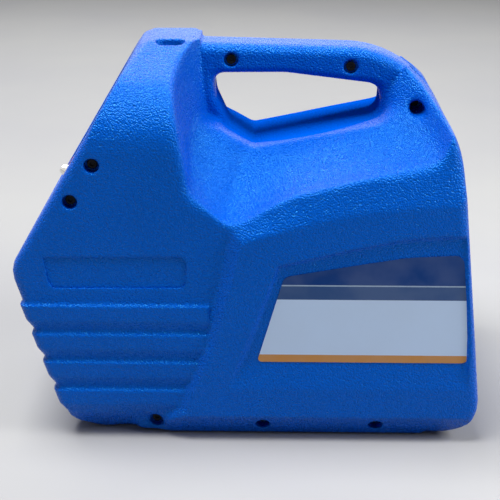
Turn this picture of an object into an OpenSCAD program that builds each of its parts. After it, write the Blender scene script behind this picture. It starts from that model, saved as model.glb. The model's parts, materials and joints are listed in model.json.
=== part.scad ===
// Portable refrigerant recovery unit: a moulded carry case in two halves with the
// compressor, motor, fan, condenser and valve manifold inside it.
// +X points to the rear, +Z is up, and the origin lies under the middle of the feet.

/* [Case] */
// Length over the front tip and the rear edge
body_l = 400; // [392:1:420]
// Width over the raised side panels
body_w = 240; // [236:1:260]
// Height of the case without its feet
body_h = 336.5; // [330:0.5:350]
// Wall thickness of the moulded halves
wall = 3.2; // [2.8:0.1:3.6]
// How far the side panels stand proud of the cheeks
panel_rise = 7; // [5:0.5:8]
// Distance of the parting plane from the middle
parting = 12; // [10:0.5:14]
// Gap along the parting line
part_gap = 0.2; // [0.1:0.05:0.3]
// Radius of the rim between a cheek and the front
rim_r = 7; // [5:0.5:9]
// Depth of the badge recess
badge_depth = 1.5; // [1:0.1:2]
// Depth of the label recess
label_depth = 3.2; // [2.5:0.1:3.6]
// How far the ribs stand proud
rib_rise = 2.6; // [1.5:0.1:3]

/* [Handle] */
// Width of the grip
grip_w = 40; // [38:0.5:44]
// Radius of the top edges of the grip
grip_r = 8; // [6:0.5:9]
// Radius along the edge of the hand opening
opening_r = 5; // [3:0.5:6]
// Width of the floor under the grip
floor_w = 84; // [80:1:92]

/* [Straps] */
// Diameter of a strap bar
bar_d = 5; // [4:0.5:6]
// Length of a strap slot
slot_l = 25; // [24:1:26]
// Width of a strap slot
slot_w = 13; // [12:0.5:15]
// Depth of a strap slot
slot_depth = 15; // [14:0.5:18]

/* [Screws] */
// Thread diameter of the case screws
screw_d = 4; // [3.5:0.1:4.5]
// Diameter of their heads
screw_head_d = 8.4; // [7.6:0.1:9]
// Height of their heads
screw_head_h = 3; // [2.4:0.1:3.4]
// Diameter of the counterbores
sink_d = 12.5; // [11:0.1:13.5]

/* [Feet] */
// Height of the feet below the case
foot_proud = 1.5; // [1.2:0.1:2.5]
// Diameter of the feet
foot_d = 22; // [18:1:26]

/* [Front panel] */
// Length of the recess that holds the panel
panel_l = 170; // [164:1:174]
// Width of the cheek left beside the recess
panel_frame = 17; // [15:0.5:19]
// Depth of the recess
panel_sink = 18; // [17:0.5:20]
// Thickness of the panel plate
panel_t = 2.5; // [2:0.1:3]
// Diameter of the gauge bezels
gauge_d = 64; // [58:1:66]
// Diameter of the valve knobs
knob_d = 34; // [30:1:38]
// Length of the inlet port above the panel
inlet_l = 22; // [21:0.5:24]
// Length of the outlet port above the panel
outlet_l = 15; // [14:0.5:17]
// Diameter of the flare thread
port_d = 11.1; // [10:0.1:12]

/* [Machinery] */
// Diameter of the motor frame
motor_d = 112; // [106:1:116]
// Length of the motor frame
motor_l = 100; // [90:1:104]
// Diameter of the motor shaft
shaft_d = 12; // [10:0.5:14]
// Diameter of the fan
fan_d = 134; // [120:1:136]
// Running clearance of the shaft in its bearings, on the radius
run_gap = 0.03; // [0.02:0.01:0.08]
// Clearance between pieces that seat in each other
fit_gap = 0.3; // [0.2:0.05:0.4]
// Diameter of the refrigerant tubes
tube_d = 9.5; // [8:0.5:10]

/* [Hidden] */
$fn = 48;
eps = 0.01;

blue = "#0a57c4";
black = "#1c1d1f";
steel = "#c3c6ca";
zinc = "#a9adb2";

cheek = body_w / 2 - panel_rise;
panel_w = 2 * (cheek - panel_frame);
base_z = foot_proud;
top_z = base_z + body_h;
grip_a = grip_w / 2;
floor_a = floor_w / 2;

// ---- outline of the case, seen from the side ----

// A point at a share of the length and of the height
function at(u, v) = [u * body_l, base_z + v * body_h];

// Points of a round of radius r at corner b between a and c
function round_at(a, b, c, r, n) =
    let (u = (a - b) / norm(a - b), v = (c - b) / norm(c - b))
    let (half = acos(u * v) / 2, m = b + (u + v) / norm(u + v) * r / sin(half))
    let (s = b + u * r / tan(half) - m, e = b + v * r / tan(half) - m)
    let (turn = cross(s, e) > 0 ? 180 - 2 * half : 2 * half - 180, from = atan2(s[1], s[0]))
    [for (i = [0:n]) m + r * [cos(from + turn * i / n), sin(from + turn * i / n)]];

// Rounded polygon through corners [point, radius]
function rounded(c, n) =
    let (k = len(c))
    [for (i = [0:k - 1]) each round_at(c[(i + k - 1) % k][0], c[i][0], c[(i + 1) % k][0], c[i][1], n)];

tip = at(-0.507, 0.471);
front_top = at(-0.2375, 1);
rear_top = at(0.4138, 0.9730);
rear_low = at(0.512, 0);
front_low = at(-0.391, 0);
crown_r = 95;

function swap(points) = [for (p = points) [p[1], p[0]]];

// Front and rear edges as height, length pairs from the bottom up
front_edge = swap(concat(round_at(rear_low, front_low, tip, 38, 6),
    round_at(front_low, tip, front_top, 25, 6), round_at(tip, front_top, at(0, 1), 14, 5)));
rear_edge = swap(concat(round_at(front_low, rear_low, rear_top, 36, 6),
    round_at(rear_low, rear_top, at(-0.1, 0.99), crown_r, 12), [at(-0.05, 1.001)]));

// The shoulders lean in above the cheeks: a flat top, a slope, then a round
shoulder_flat = 28;
shoulder_tilt = 22;
shoulder_r = 58;
skirt_w = 15;
skirt_h = 23;

function slope_z(a) = top_z - (a - shoulder_flat) * tan(shoulder_tilt);
function shoulder_z(a, half) =
    let (bend = half - shoulder_r * (1 - sin(shoulder_tilt)))
    let (round_z = slope_z(bend) - shoulder_r * cos(shoulder_tilt), k = a - half + shoulder_r)
    a <= shoulder_flat ? top_z : a <= bend ? slope_z(a)
    : round_z + sqrt(max(0, shoulder_r * shoulder_r - k * k));
function skirt_z(a, half) = base_z + max(0, a - half + skirt_w) * skirt_h / skirt_w;
function rim(a, half, r) = a <= half - r ? 0 : r - sqrt(max(0, r * r - pow(a - half + r, 2)));

// Where the rings of the case have their points: shares of the foot, of the nose and of the head
fine_cuts = [[0, 0.04, 0.12, 0.3, 0.6, 1], [0.293, 0.418, 0.441, 0.465, 0.489, 0.516],
    [0, 0.14, 0.28, 0.42, 0.54, 0.66, 0.76, 0.84, 0.91, 0.96, 1]];
plain_cuts = [[0, 0.12, 0.4, 1], [0.441, 0.489], [0, 0.4, 0.7, 0.9, 1]];
foot_v = 0.1145;
head_v = 0.72;

// Height at which an edge is read for a wall drawn in by g, so that the corners keep their thickness
function lean(z, g) = z < at(0, foot_v)[1] - eps ? z - g : z > top_z - 24 ? z + g : z;

// A slanted front is drawn in further, as its wall is measured level
front_draft = 1.15;

// One ring of the case at distance a from the middle, drawn in by g
function case_ring(a, half, r, g) =
    let (d = rim(a, half, r), low = skirt_z(a, half) + g, high = shoulder_z(a, half) - g)
    let (cuts = g > 0 ? plain_cuts : fine_cuts, foot_z = at(0, foot_v)[1], head_z = at(0, head_v)[1])
    let (heights = concat([for (f = cuts[0]) low + f * (foot_z - low)], [for (v = cuts[1]) at(0, v)[1]],
        [for (f = cuts[2]) head_z + f * (high - head_z)]))
    concat([for (z = heights) [lookup(lean(z, g), rear_edge) - d - g, z]],
        [for (z = reversed(heights)) [lookup(lean(z, g), front_edge) + (d + g) * front_draft, z]]);

// Solid through closed rings of equal length
module loft(rings) {
    n = len(rings[0]);
    last = len(rings) - 1;
    sides = [for (i = [0:last - 1], j = [0:n - 1])
        let (k = (j + 1) % n)
        each [[i * n + j, (i + 1) * n + k, (i + 1) * n + j], [i * n + j, i * n + k, (i + 1) * n + k]]];
    polyhedron([for (r = rings) each r], concat([[for (j = [n - 1:-1:0]) j]],
        [[for (j = [0:n - 1]) last * n + j]], sides));
}

function reversed(list) = [for (i = [len(list) - 1:-1:0]) list[i]];

// Rings of [x, z] points, counter-clockwise, set up across the case at distances a
function stand(levels) = [for (l = levels) [for (p = l[1]) [p[0], -l[0], p[1]]]];

function case_steps(half, g) =
    let (bend = half - shoulder_r * (1 - sin(shoulder_tilt)))
    g > 0 ? [shoulder_flat, bend, bend + 12, half - skirt_w, half - 5, half]
    : [shoulder_flat, bend, bend + 8, bend + 15, half - skirt_w, half - 10, half - 6, half - 3, half - 1,
        half];

module case_block(half, r, g) {
    steps = case_steps(half, g);
    loft(stand([for (a = concat(reversed(steps), -steps)) [a, case_ring(abs(a), half, r, g)]]));
}

module case_side(half, r) {
    steps = [for (a = case_steps(half, 0)) if (a >= half - skirt_w - eps) a];
    loft(stand([for (a = reversed(steps)) [a, case_ring(a, half, r, 0)]]));
}

// ---- hollow beside the grip ----

// Key outlines of the hollow: by the grip, at the edge of the floor and at the cheek.
// The first three points of each lie on the front wall and take their x from wall_x().
by_grip = [[0, 1.05], [0, 0.887], [0, 0.804], [-0.040, 0.771], [-0.005, 0.745], [0.006, 0.739],
    [0.020, 0.743], [0.100, 0.762], [0.188, 0.784], [0.252, 0.800], [0.283, 0.814], [0.294, 0.842],
    [0.305, 0.880], [0.380, 1.03]];
by_floor = [[0, 1.05], [0, 0.887], [0, 0.800], [-0.040, 0.769], [-0.008, 0.745], [0.005, 0.739],
    [0.020, 0.743], [0.100, 0.762], [0.188, 0.784], [0.262, 0.801], [0.312, 0.817], [0.338, 0.838],
    [0.356, 0.865], [0.412, 0.990]];
by_cheek = [[0, 1.05], [0, 0.887], [0, 0.672], [-0.083, 0.631], [-0.055, 0.603], [-0.037, 0.597],
    [-0.010, 0.605], [0.030, 0.633], [0.095, 0.672], [0.225, 0.713], [0.350, 0.746], [0.385, 0.763],
    [0.402, 0.797], [0.432, 0.900]];

cove_w = 55;
function wall_x(a, z) =
    let (f = pow(1 - min(1, max(0, (a - grip_a) / cove_w)), 1.5), k = at(0, 0.816)[1])
    at(-0.1445, 0)[0] + 18 * f + (k - z) * (z < k ? 0.19 : 0.1);

// Smooth curve through the points p, with n steps between two of them
function smooth(p, n) = concat([for (i = [0:len(p) - 2], j = [0:n - 1])
    let (a = p[max(0, i - 1)], b = p[i], c = p[i + 1], d = p[min(len(p) - 1, i + 2)], t = j / n)
    (2 * b + (c - a) * t + (2 * a - 5 * b + 4 * c - d) * t * t + (3 * b - a - 3 * c + d) * t * t * t) / 2],
    [p[len(p) - 1]]);

// Outline of the hollow at distance a from the middle, grown by g into the case
function hollow_ring(a, g, n) =
    let (t = min(1, max(0, (a + g - grip_a) / (floor_a - grip_a))))
    let (s = 1 - pow(1 - min(1, max(0, (a + g - floor_a) / (cheek - floor_a))), 1.8))
    let (share = by_grip * (1 - t) + by_floor * t, mix = share * (1 - s) + by_cheek * s)
    let (flat = [for (i = [0:len(mix) - 1]) let (p = at(mix[i][0], mix[i][1]))
        i < 3 ? [wall_x(a + g, p[1]), p[1]] : p])
    let (curve = [for (p = smooth([for (i = [2:len(flat) - 1]) flat[i]], n)) p - [0, g]])
    concat([flat[0] - [g, 0], flat[1] - [g, 0]], [[wall_x(a + g, curve[0][1]) - g, curve[0][1]]],
        [for (i = [1:len(curve) - 1]) curve[i] + [i > len(curve) - 3 * n ? g : 0, 0]],
        [[curve[len(curve) - 1][0] + g, top_z + 30], [flat[0][0] - g, top_z + 30]]);

module hollow(g, n) {
    span = cheek - floor_a;
    steps = [grip_a - g, (grip_a + floor_a) / 2, floor_a - 2, floor_a + 4, floor_a + 0.2 * span,
        floor_a + 0.36 * span, floor_a + 0.55 * span, floor_a + 0.78 * span, cheek, body_w / 2 + 5];
    levels = g > 0 ? [for (i = [0, 2, 4, 5, 6, 8, 9]) steps[i]] : steps;
    loft(stand([for (a = reversed(levels)) [a, hollow_ring(a, g, n)]]));
    translate([at(-0.110, 0)[0] - g, -grip_a + g, at(0, 0.716)[1] - g])
        cube([body_l, 2 * (grip_a - g), body_h]);
}

module both_sides() {
    children();
    mirror([0, 1, 0]) children();
}

// ---- grip and the opening under it ----

grip_steps = [[0, 1], [1.2, 0.6], [3, 0.3], [6, 0.09], [9, 0]];

function grip_ring(d) =
    let (start = at(-0.19, 0.9905), low = at(0, 0.709)[1])
    let (arc = round_at(start, rear_top, rear_low, crown_r, 16))
    let (mid = round_center(start, rear_top, rear_low, crown_r))
    reversed(concat([[start[0], low], [start[0], start[1] - d]],
        [for (p = arc)
            let (ang = atan2(p[1] - mid[1], p[0] - mid[0])) p - (p - mid) / crown_r * d * grip_fade(ang)],
        [[lookup(low, rear_edge), low]]));

function round_center(a, b, c, r) =
    let (u = (a - b) / norm(a - b), v = (c - b) / norm(c - b))
    b + (u + v) / norm(u + v) * r / sin(acos(u * v) / 2);
function grip_fade(ang) = min(1, max(0, (ang - 14) / 34));

module grip_bar() {
    side = [for (s = grip_steps) [grip_a - s[0], grip_ring(s[1] * grip_r)]];
    loft(stand(concat(side, [for (s = reversed(side)) [-s[0], s[1]]])));
}

// The hand opening, widened by e at the top and the ends
function opening_ring(e) = reversed(rounded([
    [at(-0.083, 0.9080) + [-e, e], 8], [at(0.075, 0.9095) + [0, e], 60], [at(0.284, 0.879) + [e, e], 11],
    [at(0.280, 0.801) + [e, 0], 11], [at(0.0045, 0.7325), 5], [at(-0.050, 0.7760) + [-e, 0], 12],
    [at(-0.0775, 0.8490) + [-e, 0], 20]], 3));

module opening() {
    side = [[floor_a + 12, 1], [grip_a, 1], [grip_a - 2, 0.35], [grip_a - 6, 0]];
    steps = concat(side, [for (s = reversed(side)) [-s[0], s[1]]]);
    loft(stand([for (s = steps) [s[0], opening_ring(s[1] * opening_r)]]));
}

// ---- raised side panel ----

panel_edge = [[-0.015, 0.551], [0.002, 0.566], [0.022, 0.573], [0.125, 0.608], [0.225, 0.6345],
    [0.311, 0.648], [0.392, 0.655], [0.60, 0.660], [0.60, -0.1], [-0.160, -0.1], [-0.160, 0.048],
    [-0.135, 0.084], [-0.1175, 0.144], [-0.070, 0.284]];
panel_foot = [[-0.040, 0.587], [-0.022, 0.596], [0.008, 0.615], [0.125, 0.685], [0.225, 0.713],
    [0.310, 0.735], [0.392, 0.756], [0.60, 0.790], [0.60, -0.1], [-0.190, -0.1], [-0.190, 0.056],
    [-0.1625, 0.095], [-0.1425, 0.144], [-0.095, 0.284]];

function panel_curve(list) =
    let (p = [for (q = list) at(q[0], q[1])])
    concat(smooth([for (i = [0:7]) p[i]], 2), [for (i = [8:len(p) - 1]) p[i]]);

module side_panel() {
    edge = reversed(panel_curve(panel_edge));
    foot = reversed(panel_curve(panel_foot));
    intersection() {
        case_side(body_w / 2, rim_r);
        loft(stand([[body_w / 2 + 1, edge], [body_w / 2, edge], [cheek - panel_rise, 2 * foot - edge]]));
    }
}

// Sole that joins a side panel to the floor of the case
sole_in = 14;
module panel_sole() {
    low = base_z + 0.3;
    high = base_z + skirt_h - 2;
    across([0, 0], cheek - skirt_w - 3, cheek - panel_rise + 1)
        polygon([[front_low[0] + 4 * sole_in, low], [lookup(low, rear_edge) - sole_in, low],
            [lookup(high, rear_edge) - sole_in, high], [front_low[0] + 4 * sole_in, high]]);
}

// ---- ribs round the lower front ----

rib_top = 0.378;
rib_pitch = 0.080;
rib_band = 0.043;
rib_bevel = 0.031;
rib_count = 4;
strip_x = [for (i = [10:13]) let (p = at(panel_foot[i][0], panel_foot[i][1])) [p[1], p[0]]];

module rib(v) {
    heights = [[v - rib_band - rib_bevel, -0.5], [v - rib_band, rib_rise], [v, rib_rise]];
    rings = [for (h = heights)
        let (z = at(0, h[0])[1], front = lookup(z, front_edge) - h[1], out = cheek + h[1], r = rim_r)
        let (stop = lookup(z, strip_x) + 4, deep = cheek - 30)
        [for (p = reversed(concat([[stop, -deep], [front, -deep]],
            [for (i = [0:4]) [front + r - r * cos(i * 22.5), -out + r - r * sin(i * 22.5)]],
            [[stop, -out]]))) [p[0], p[1], z]]];
    loft(rings);
}

module ribs() {
    for (i = [0:rib_count - 1]) rib(rib_top - i * rib_pitch);
}

// ---- the whole case, outside and inside ----

// Extra wall behind the bends of the hollow
bend_wall = 1.8;

module case_outside() {
    difference() {
        union() {
            difference() {
                union() {
                    case_block(cheek, rim_r, 0);
                    both_sides() side_panel();
                    both_sides() panel_sole();
                }
                both_sides() hollow(0, 2);
            }
            both_sides() ribs();
            grip_bar();
        }
        opening();
    }
}

module case_inside() {
    difference() {
        case_block(cheek - wall, rim_r - wall, wall);
        both_sides() hollow(wall + bend_wall, 1);
        across([0, 0], -floor_a - 12, floor_a + 12)
            polygon([at(-0.11, 0.95), at(-0.11, 0.76), at(-0.015, 0.718), at(0.0195, 0.722), at(0.33, 0.794),
                at(0.33, 0.95)]);
    }
}

// ---- sloping front: +X runs up the slope, +Z out of it ----

front_mid = (tip + front_top) / 2;
front_tilt = atan2(front_top[1] - tip[1], front_top[0] - tip[0]);
plate_top = -panel_sink;
plate_low = plate_top - panel_t;
ledge = 6;

module on_front(x = 0, y = 0, z = 0) {
    translate([front_mid[0], 0, front_mid[1]])
        rotate([0, -front_tilt, 0])
            translate([x, y, z]) children();
}

module block(x, y, z) {
    translate([x[0], y[0], z[0]]) cube([x[1] - x[0], y[1] - y[0], z[1] - z[0]]);
}

// Outline of the recess, drawn in by g; its upper corners follow the shoulders
function panel_corners(g) =
    let (l = panel_l / 2 - g, w = panel_w / 2 - g)
    [[[-l, -w], 8], [[l * 0.36, -w], 34], [[l * 0.74, -w * 0.88], 34], [[l, -w * 0.56], 12],
        [[l, w * 0.56], 12], [[l * 0.74, w * 0.88], 34], [[l * 0.36, w], 34], [[-l, w], 8]];

module panel_slab(g, low, high) {
    translate([0, 0, low]) linear_extrude(high - low) polygon(rounded(panel_corners(g), 4));
}

module front_frame() {
    on_front() panel_slab(-wall, plate_low - ledge, -1);
}

module front_recess() {
    on_front() {
        panel_slab(0, plate_low, 20);
        panel_slab(ledge, plate_low - 30, 0);
    }
}

// ---- screws through the near side ----

// Side view places of the screws
grip_screws = [at(-0.0435, 0.9454), at(0.216, 0.9285), at(0.3565, 0.8365)];
cheek_screws = [at(-0.3205, 0.747), at(-0.3695, 0.654)];
skirt_screws = [at(-0.2065, 0.0355), at(0.030, 0.0355), at(0.279, 0.0355)];
grip_seat = parting + 3.5;
cheek_seat = cheek - 9;
skirt_seat = cheek - skirt_w + 1;
grip_bite = 22;
cheek_bite = 17;
skirt_bite = 14;
boss_d = sink_d + 2 * 2.4;

// Along -Y from distance a to distance b at the side view point p
module across(p, a, b) {
    translate([p[0], -a, p[1]]) rotate([90, 0, 0]) linear_extrude(b - a) children();
}

module screw_bosses() {
    for (p = cheek_screws) across(p, panel_w / 2, cheek - 1) circle(d = boss_d);
    for (p = skirt_screws)
        across(p, skirt_seat - wall, cheek - 10) translate([0, 1.5]) square(boss_d - 3, center = true);
}

// Boss of the rear screw of the grip, from its tip out to the hollow
module wing_boss() {
    across(grip_screws[2], grip_seat - grip_bite - wall, floor_a + 12) circle(d = boss_d);
}

module screw_hole(p, from, seat, bore) {
    across(p, from, seat + eps) circle(d = bore);
    across(p, seat, body_w) circle(d = sink_d);
}

module screw_holes() {
    for (p = cheek_screws) screw_hole(p, panel_w / 2 - 1, cheek_seat, screw_d + 0.6);
    for (p = skirt_screws) screw_hole(p, skirt_seat - 2 * wall, skirt_seat, screw_d + 0.6);
}

module screw(p, seat, bite) {
    difference() {
        across(p, seat, seat + screw_head_h) circle(d = screw_head_d);
        across(p, seat + screw_head_h - 1.6, seat + body_w) circle(d = screw_head_d * 0.5, $fn = 6);
    }
    across(p, seat - bite, seat + eps) circle(d = screw_d);
}

// ---- strap slots ----

front_slot = [at(-0.1725, 1)[0], shoulder_flat - 1];
rear_slot_turn = 44;
crown_mid = round_center(at(-0.19, 0.9905), rear_top, rear_low, crown_r);
bar_sink = 8.5;
bar_seat = 2.4;

module on_crown() {
    translate([crown_mid[0], 0, crown_mid[1]])
        rotate([0, 90 - rear_slot_turn, 0])
            translate([0, 0, crown_r]) children();
}

module slot_cut() {
    r = slot_w / 2;
    translate([0, 0, -slot_depth]) linear_extrude(slot_depth + 8) {
        square([slot_l - slot_w, slot_w], center = true);
        for (s = [-1, 1]) translate([s * (slot_l / 2 - r), 0]) circle(r = r);
    }
    bar_bore() circle(d = bar_d + 0.1);
}

module bar_bore() {
    l = slot_l / 2 + bar_seat;
    translate([-l, 0, -bar_sink]) rotate([90, 0, 90]) linear_extrude(2 * l) children();
}

module on_block() {
    translate([front_slot[0], -front_slot[1], top_z]) children();
}

module strap_box() {
    l = slot_l / 2 + wall;
    w = slot_w / 2 + wall;
    block([-l, l], [-w, w], [-slot_depth - wall, -5]);
}

// What thickens the case from inside round a strap slot or a deep screw, kept under its surface
under = 2;
module inner_bosses() {
    difference() {
        intersection() {
            case_block(cheek - under, rim_r - under, under);
            union() {
                on_block() strap_box();
                on_crown() strap_box();
                wing_boss();
            }
        }
        both_sides() hollow(under, 1);
    }
    on_crown() strap_box();
}

// ---- grilles, socket and label ----

grille_gap = 0.3;
grille_back = 2.2;
front_vent = [150, 58];
rear_vent = [140, 112];
rear_tilt = atan2(rear_low[0] - rear_top[0], rear_top[1] - rear_low[1]);
rear_vent_z = at(0, 0.43)[1];
nose_tilt = atan2(front_low[0] - tip[0], tip[1] - front_low[1]);
front_vent_z = at(0, 0.265)[1];
socket_size = [27.5, 20];
socket_z = at(0, 0.17)[1];
socket_y = 52;

// +Z out of the rear wall, +X down it
module on_rear(z) {
    translate([lookup(z, rear_edge), 0, z]) rotate([0, 90 - rear_tilt, 0]) children();
}

// +Z out of the wall under the tip, +X up it
module on_nose() {
    translate([lookup(front_vent_z, front_edge), 0, front_vent_z]) rotate([0, -90 - nose_tilt, 0]) children();
}

module vent_cut(size) {
    translate([-size[1] / 2, -size[0] / 2, -20]) cube([size[1], size[0], 40]);
}

module vents() {
    on_rear(rear_vent_z) vent_cut(rear_vent);
    on_nose() vent_cut(front_vent);
    translate([0, -socket_y, 0]) on_rear(socket_z) vent_cut(socket_size);
}

badge_corners = [at(-0.4320, 0.507), at(-0.1435, 0.510), at(-0.1320, 0.494), at(-0.1330, 0.437),
    at(-0.1440, 0.4265), at(-0.4150, 0.4235), at(-0.4250, 0.443)];
label_corners = [at(0.0600, 0.4955), at(0.1985, 0.537), at(0.324, 0.5690), at(0.4480, 0.5785),
    at(0.4690, 0.300), at(0.4715, 0.1530), at(-0.0470, 0.1530)];
label_floor = [at(0.0625, 0.4900), at(0.1990, 0.5315), at(0.324, 0.5635), at(0.4450, 0.5730),
    at(0.4655, 0.300), at(0.4670, 0.2250), at(-0.0130, 0.2250)];

module badge_recess() {
    across([0, 0], cheek - badge_depth, cheek + 20) polygon(badge_corners);
}

module label_recess() {
    out = body_w / 2;
    loft(stand([[out + 1, reversed(label_corners)], [out, reversed(label_corners)],
        [out - label_depth, reversed(label_floor)]]));
}

module label_outline(g) {
    polygon(reversed(rounded([[at(0.0735, 0.464) + [g, -g], 8], [at(0.1985, 0.4915) + [0, -g], 60],
        [at(0.327, 0.5180) + [0, -g], 60], [at(0.4440, 0.5260) + [-g, -g], 8],
        [at(0.4560, 0.405) + [-g, 0], 60], [at(0.4690, 0.2280) + [-g, g], 5],
        [at(0.0170, 0.2280) + [g, g], 3]], 5)));
}

// ---- feet ----

foot_places = [at(-0.2375, 0), at(0.3625, 0)];
foot_y = 76;
foot_sink = 1.8;

module at_feet() {
    for (p = foot_places, s = [-1, 1]) translate([p[0], s * foot_y, 0]) children();
}

// ---- nodes: the case ----

module shell_solid() {
    difference() {
        union() {
            difference() {
                case_outside();
                case_inside();
            }
            front_frame();
            inner_bosses();
            both_sides() screw_bosses();
        }
        front_recess();
        both_sides() screw_holes();
        both_sides() badge_recess();
        label_recess();
        vents();
        on_block() slot_cut();
        on_crown() slot_cut();
        at_feet() {
            cylinder(d = foot_d + 0.6, h = base_z + foot_sink);
            cylinder(d = 6.6, h = 20);
        }
    }
}

module near_shell() {
    color(blue) difference() {
        shell_solid();
        translate([-body_l, -parting - part_gap / 2, -1]) cube([2 * body_l, body_w, 2 * body_h]);
        for (p = grip_screws) screw_hole(p, 0, grip_seat, screw_d + 0.6);
    }
}

module far_shell() {
    color(blue) difference() {
        shell_solid();
        translate([-body_l, -parting + part_gap / 2 - body_w, -1]) cube([2 * body_l, body_w, 2 * body_h]);
        for (p = grip_screws) across(p, grip_seat - grip_bite - 1, grip_seat) circle(d = screw_d + 0.1);
    }
}

module case_screws() {
    color(black) {
        for (p = grip_screws) screw(p, grip_seat, grip_bite);
        both_sides() {
            for (p = cheek_screws) screw(p, cheek_seat, cheek_bite);
            for (p = skirt_screws) screw(p, skirt_seat, skirt_bite);
        }
    }
}

module front_strap_bar() {
    color(steel) on_block() bar_bore() circle(d = bar_d);
}

module rear_strap_bar() {
    color(steel) on_crown() bar_bore() circle(d = bar_d);
}

label_t = 0.5;
module label_plate() {
    low = body_w / 2 - label_depth;
    color("#c9d3df") across([0, 0], low, low + label_t) label_outline(0);
}

module rubber_feet() {
    color(black) at_feet() {
        cylinder(d = foot_d, h = base_z + foot_sink);
        cylinder(d = 6, h = base_z + wall);
    }
}

// ---- front panel ----

gauge_x = 38;
gauge_y = 43;
port_x = -23;
knob_x = -60;
pair_y = 52;
selector_x = -14;
reset_x = 64;
switch_x = -58;
stem_d = 8;
port_hex = 17;
rocker_size = [22, 30];

module pair(x, y) {
    for (s = [-1, 1]) on_front(x, s * y) children();
}

module through(d) {
    translate([0, 0, -50]) cylinder(d = d, h = 60);
}

module front_panel() {
    hole = [rocker_size[0] / 2, rocker_size[1] / 2];
    color(black) difference() {
        union() {
            on_front() panel_slab(fit_gap, plate_low, plate_top);
            both_sides() for (p = cheek_screws) screw_ear(p);
        }
        pair(gauge_x, gauge_y) through(gauge_d - 8);
        pair(port_x, pair_y) through(port_hex / cos(30) + 2 * fit_gap);
        pair(knob_x, pair_y) through(stem_d + 1);
        on_front(selector_x) through(stem_d + 1);
        on_front(reset_x) through(13);
        on_front(switch_x) block([-hole[0], hole[0]], [-hole[1], hole[1]], [plate_low - 1, plate_top + 1]);
        both_sides() for (p = cheek_screws)
            across(p, cheek_seat - cheek_bite - 2, panel_w / 2 + 1) circle(d = screw_d + 0.1);
        pair(clamp_x, clamp_y) through(screw_d + 0.6);
    }
}

// Ear on the edge of the panel that a cheek screw bites into
ear = [12, 11, 9];
module screw_ear(p) {
    along = (p - front_mid) * [cos(front_tilt), sin(front_tilt)];
    out = panel_w / 2 - fit_gap;
    on_front(along) block([-ear[0] / 2, ear[0] / 2], [-out, ear[1] - out], [plate_low, plate_top + ear[2]]);
}

clamp_x = -40;
clamp_y = 62;
module panel_screws() {
    head_h = 2;
    color(steel) pair(clamp_x, clamp_y) {
        difference() {
            translate([0, 0, plate_top]) cylinder(d = 8, h = head_h);
            translate([0, 0, plate_top + head_h / 2]) linear_extrude(head_h) square([5, 1], center = true);
        }
        translate([0, 0, block_top - 8]) cylinder(d = screw_d, h = plate_top - block_top + 8 + eps);
    }
}

// Can, flange behind the plate and bezel of one gauge, open at the front
can_l = 26;
neck_l = 12;
bezel_h = 6;
module gauge(side) {
    r = gauge_d / 2;
    on_front(gauge_x, side * gauge_y) rotate_extrude($fn = 96) polygon([[0, plate_low - can_l],
        [r - 8, plate_low - can_l], [r - 6, plate_low - can_l + 2], [r - 6, plate_low - 1],
        [r - 6, plate_top], [r, plate_top], [r, plate_top + bezel_h - 1.5],
        [r - 1.5, plate_top + bezel_h], [r - 3.5, plate_top + bezel_h], [r - 4.5, plate_top + bezel_h - 2.4],
        [r - 6.5, plate_top + bezel_h - 2.4], [r - 7.5, plate_top - 1], [r - 7.5, plate_low - can_l + 3],
        [0, plate_low - can_l + 3]]);
    on_front(gauge_x, side * gauge_y) translate([0, 0, plate_low - can_l - neck_l])
        cylinder(d = 10, h = neck_l + eps);
}

module inlet_gauge() {
    color(black) gauge(-1);
}

module outlet_gauge() {
    color(black) gauge(1);
}

dial_z = plate_top - 3;
module gauge_dials() {
    color("white") pair(gauge_x, gauge_y) difference() {
        translate([0, 0, dial_z - 1]) cylinder(d = gauge_d - 15 - 2 * fit_gap, h = 1);
        translate([0, 0, dial_z - 2]) cylinder(d = 4, h = 4);
    }
    color(zinc) pair(gauge_x, gauge_y) translate([0, 0, plate_low - can_l + 3])
        difference() {
            cylinder(d = 20, h = dial_z - 1 - plate_low + can_l - 3);
            translate([0, 0, 4]) cylinder(d = 3, h = 40);
        }
}

needle_l = 21;
module needle(side) {
    color("#d6322a") on_front(gauge_x, side * gauge_y) {
        translate([0, 0, dial_z + 1]) linear_extrude(0.8)
            polygon([[-8, -1.6], [-8, 1.6], [0, 1.9], [needle_l, 0.4], [needle_l, -0.4], [0, -1.9]]);
        translate([0, 0, dial_z + 0.9]) cylinder(d = 7, h = 1.8);
        translate([0, 0, dial_z - 8]) cylinder(d = 3 - 2 * run_gap, h = 9);
    }
}

module inlet_needle() needle(-1);
module outlet_needle() needle(1);

module gauge_lenses() {
    color("#dfe8ee") pair(gauge_x, gauge_y) translate([0, 0, plate_top + bezel_h - 2.4])
        cylinder(d = gauge_d - 9.4, h = 1.6);
}

// Round knob with a skirt, finger flutes and a pointer ridge
knob_h = 15;
module knob(d, colour) {
    foot_z = plate_top + 1;
    color(colour) difference() {
        translate([0, 0, foot_z]) rotate_extrude($fn = 72) polygon([[0, 0], [d / 2, 0], [d / 2, 2.5],
            [d / 2 - 2, 4], [d / 2 - 3.2, knob_h - 2], [d / 2 - 5.2, knob_h], [0, knob_h]]);
        for (i = [0:7]) rotate(i * 45 + 22.5) translate([d / 2 + 1.2, 0, foot_z + 4])
            cylinder(d = 8, h = knob_h);
        translate([0, 0, foot_z - 1]) cylinder(d = stem_d, h = 11);
    }
    color(colour) translate([0, 0, foot_z + knob_h - eps]) linear_extrude(1.2)
        translate([d * 0.2, 0]) square([d * 0.3, 2.4], center = true);
}

module inlet_knob() on_front(knob_x, -pair_y) knob(knob_d, "#1f5fd0");
module outlet_knob() on_front(knob_x, pair_y) knob(knob_d, "#c8281e");
module selector_knob() on_front(selector_x, 0) knob(knob_d + 4, black);

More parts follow.
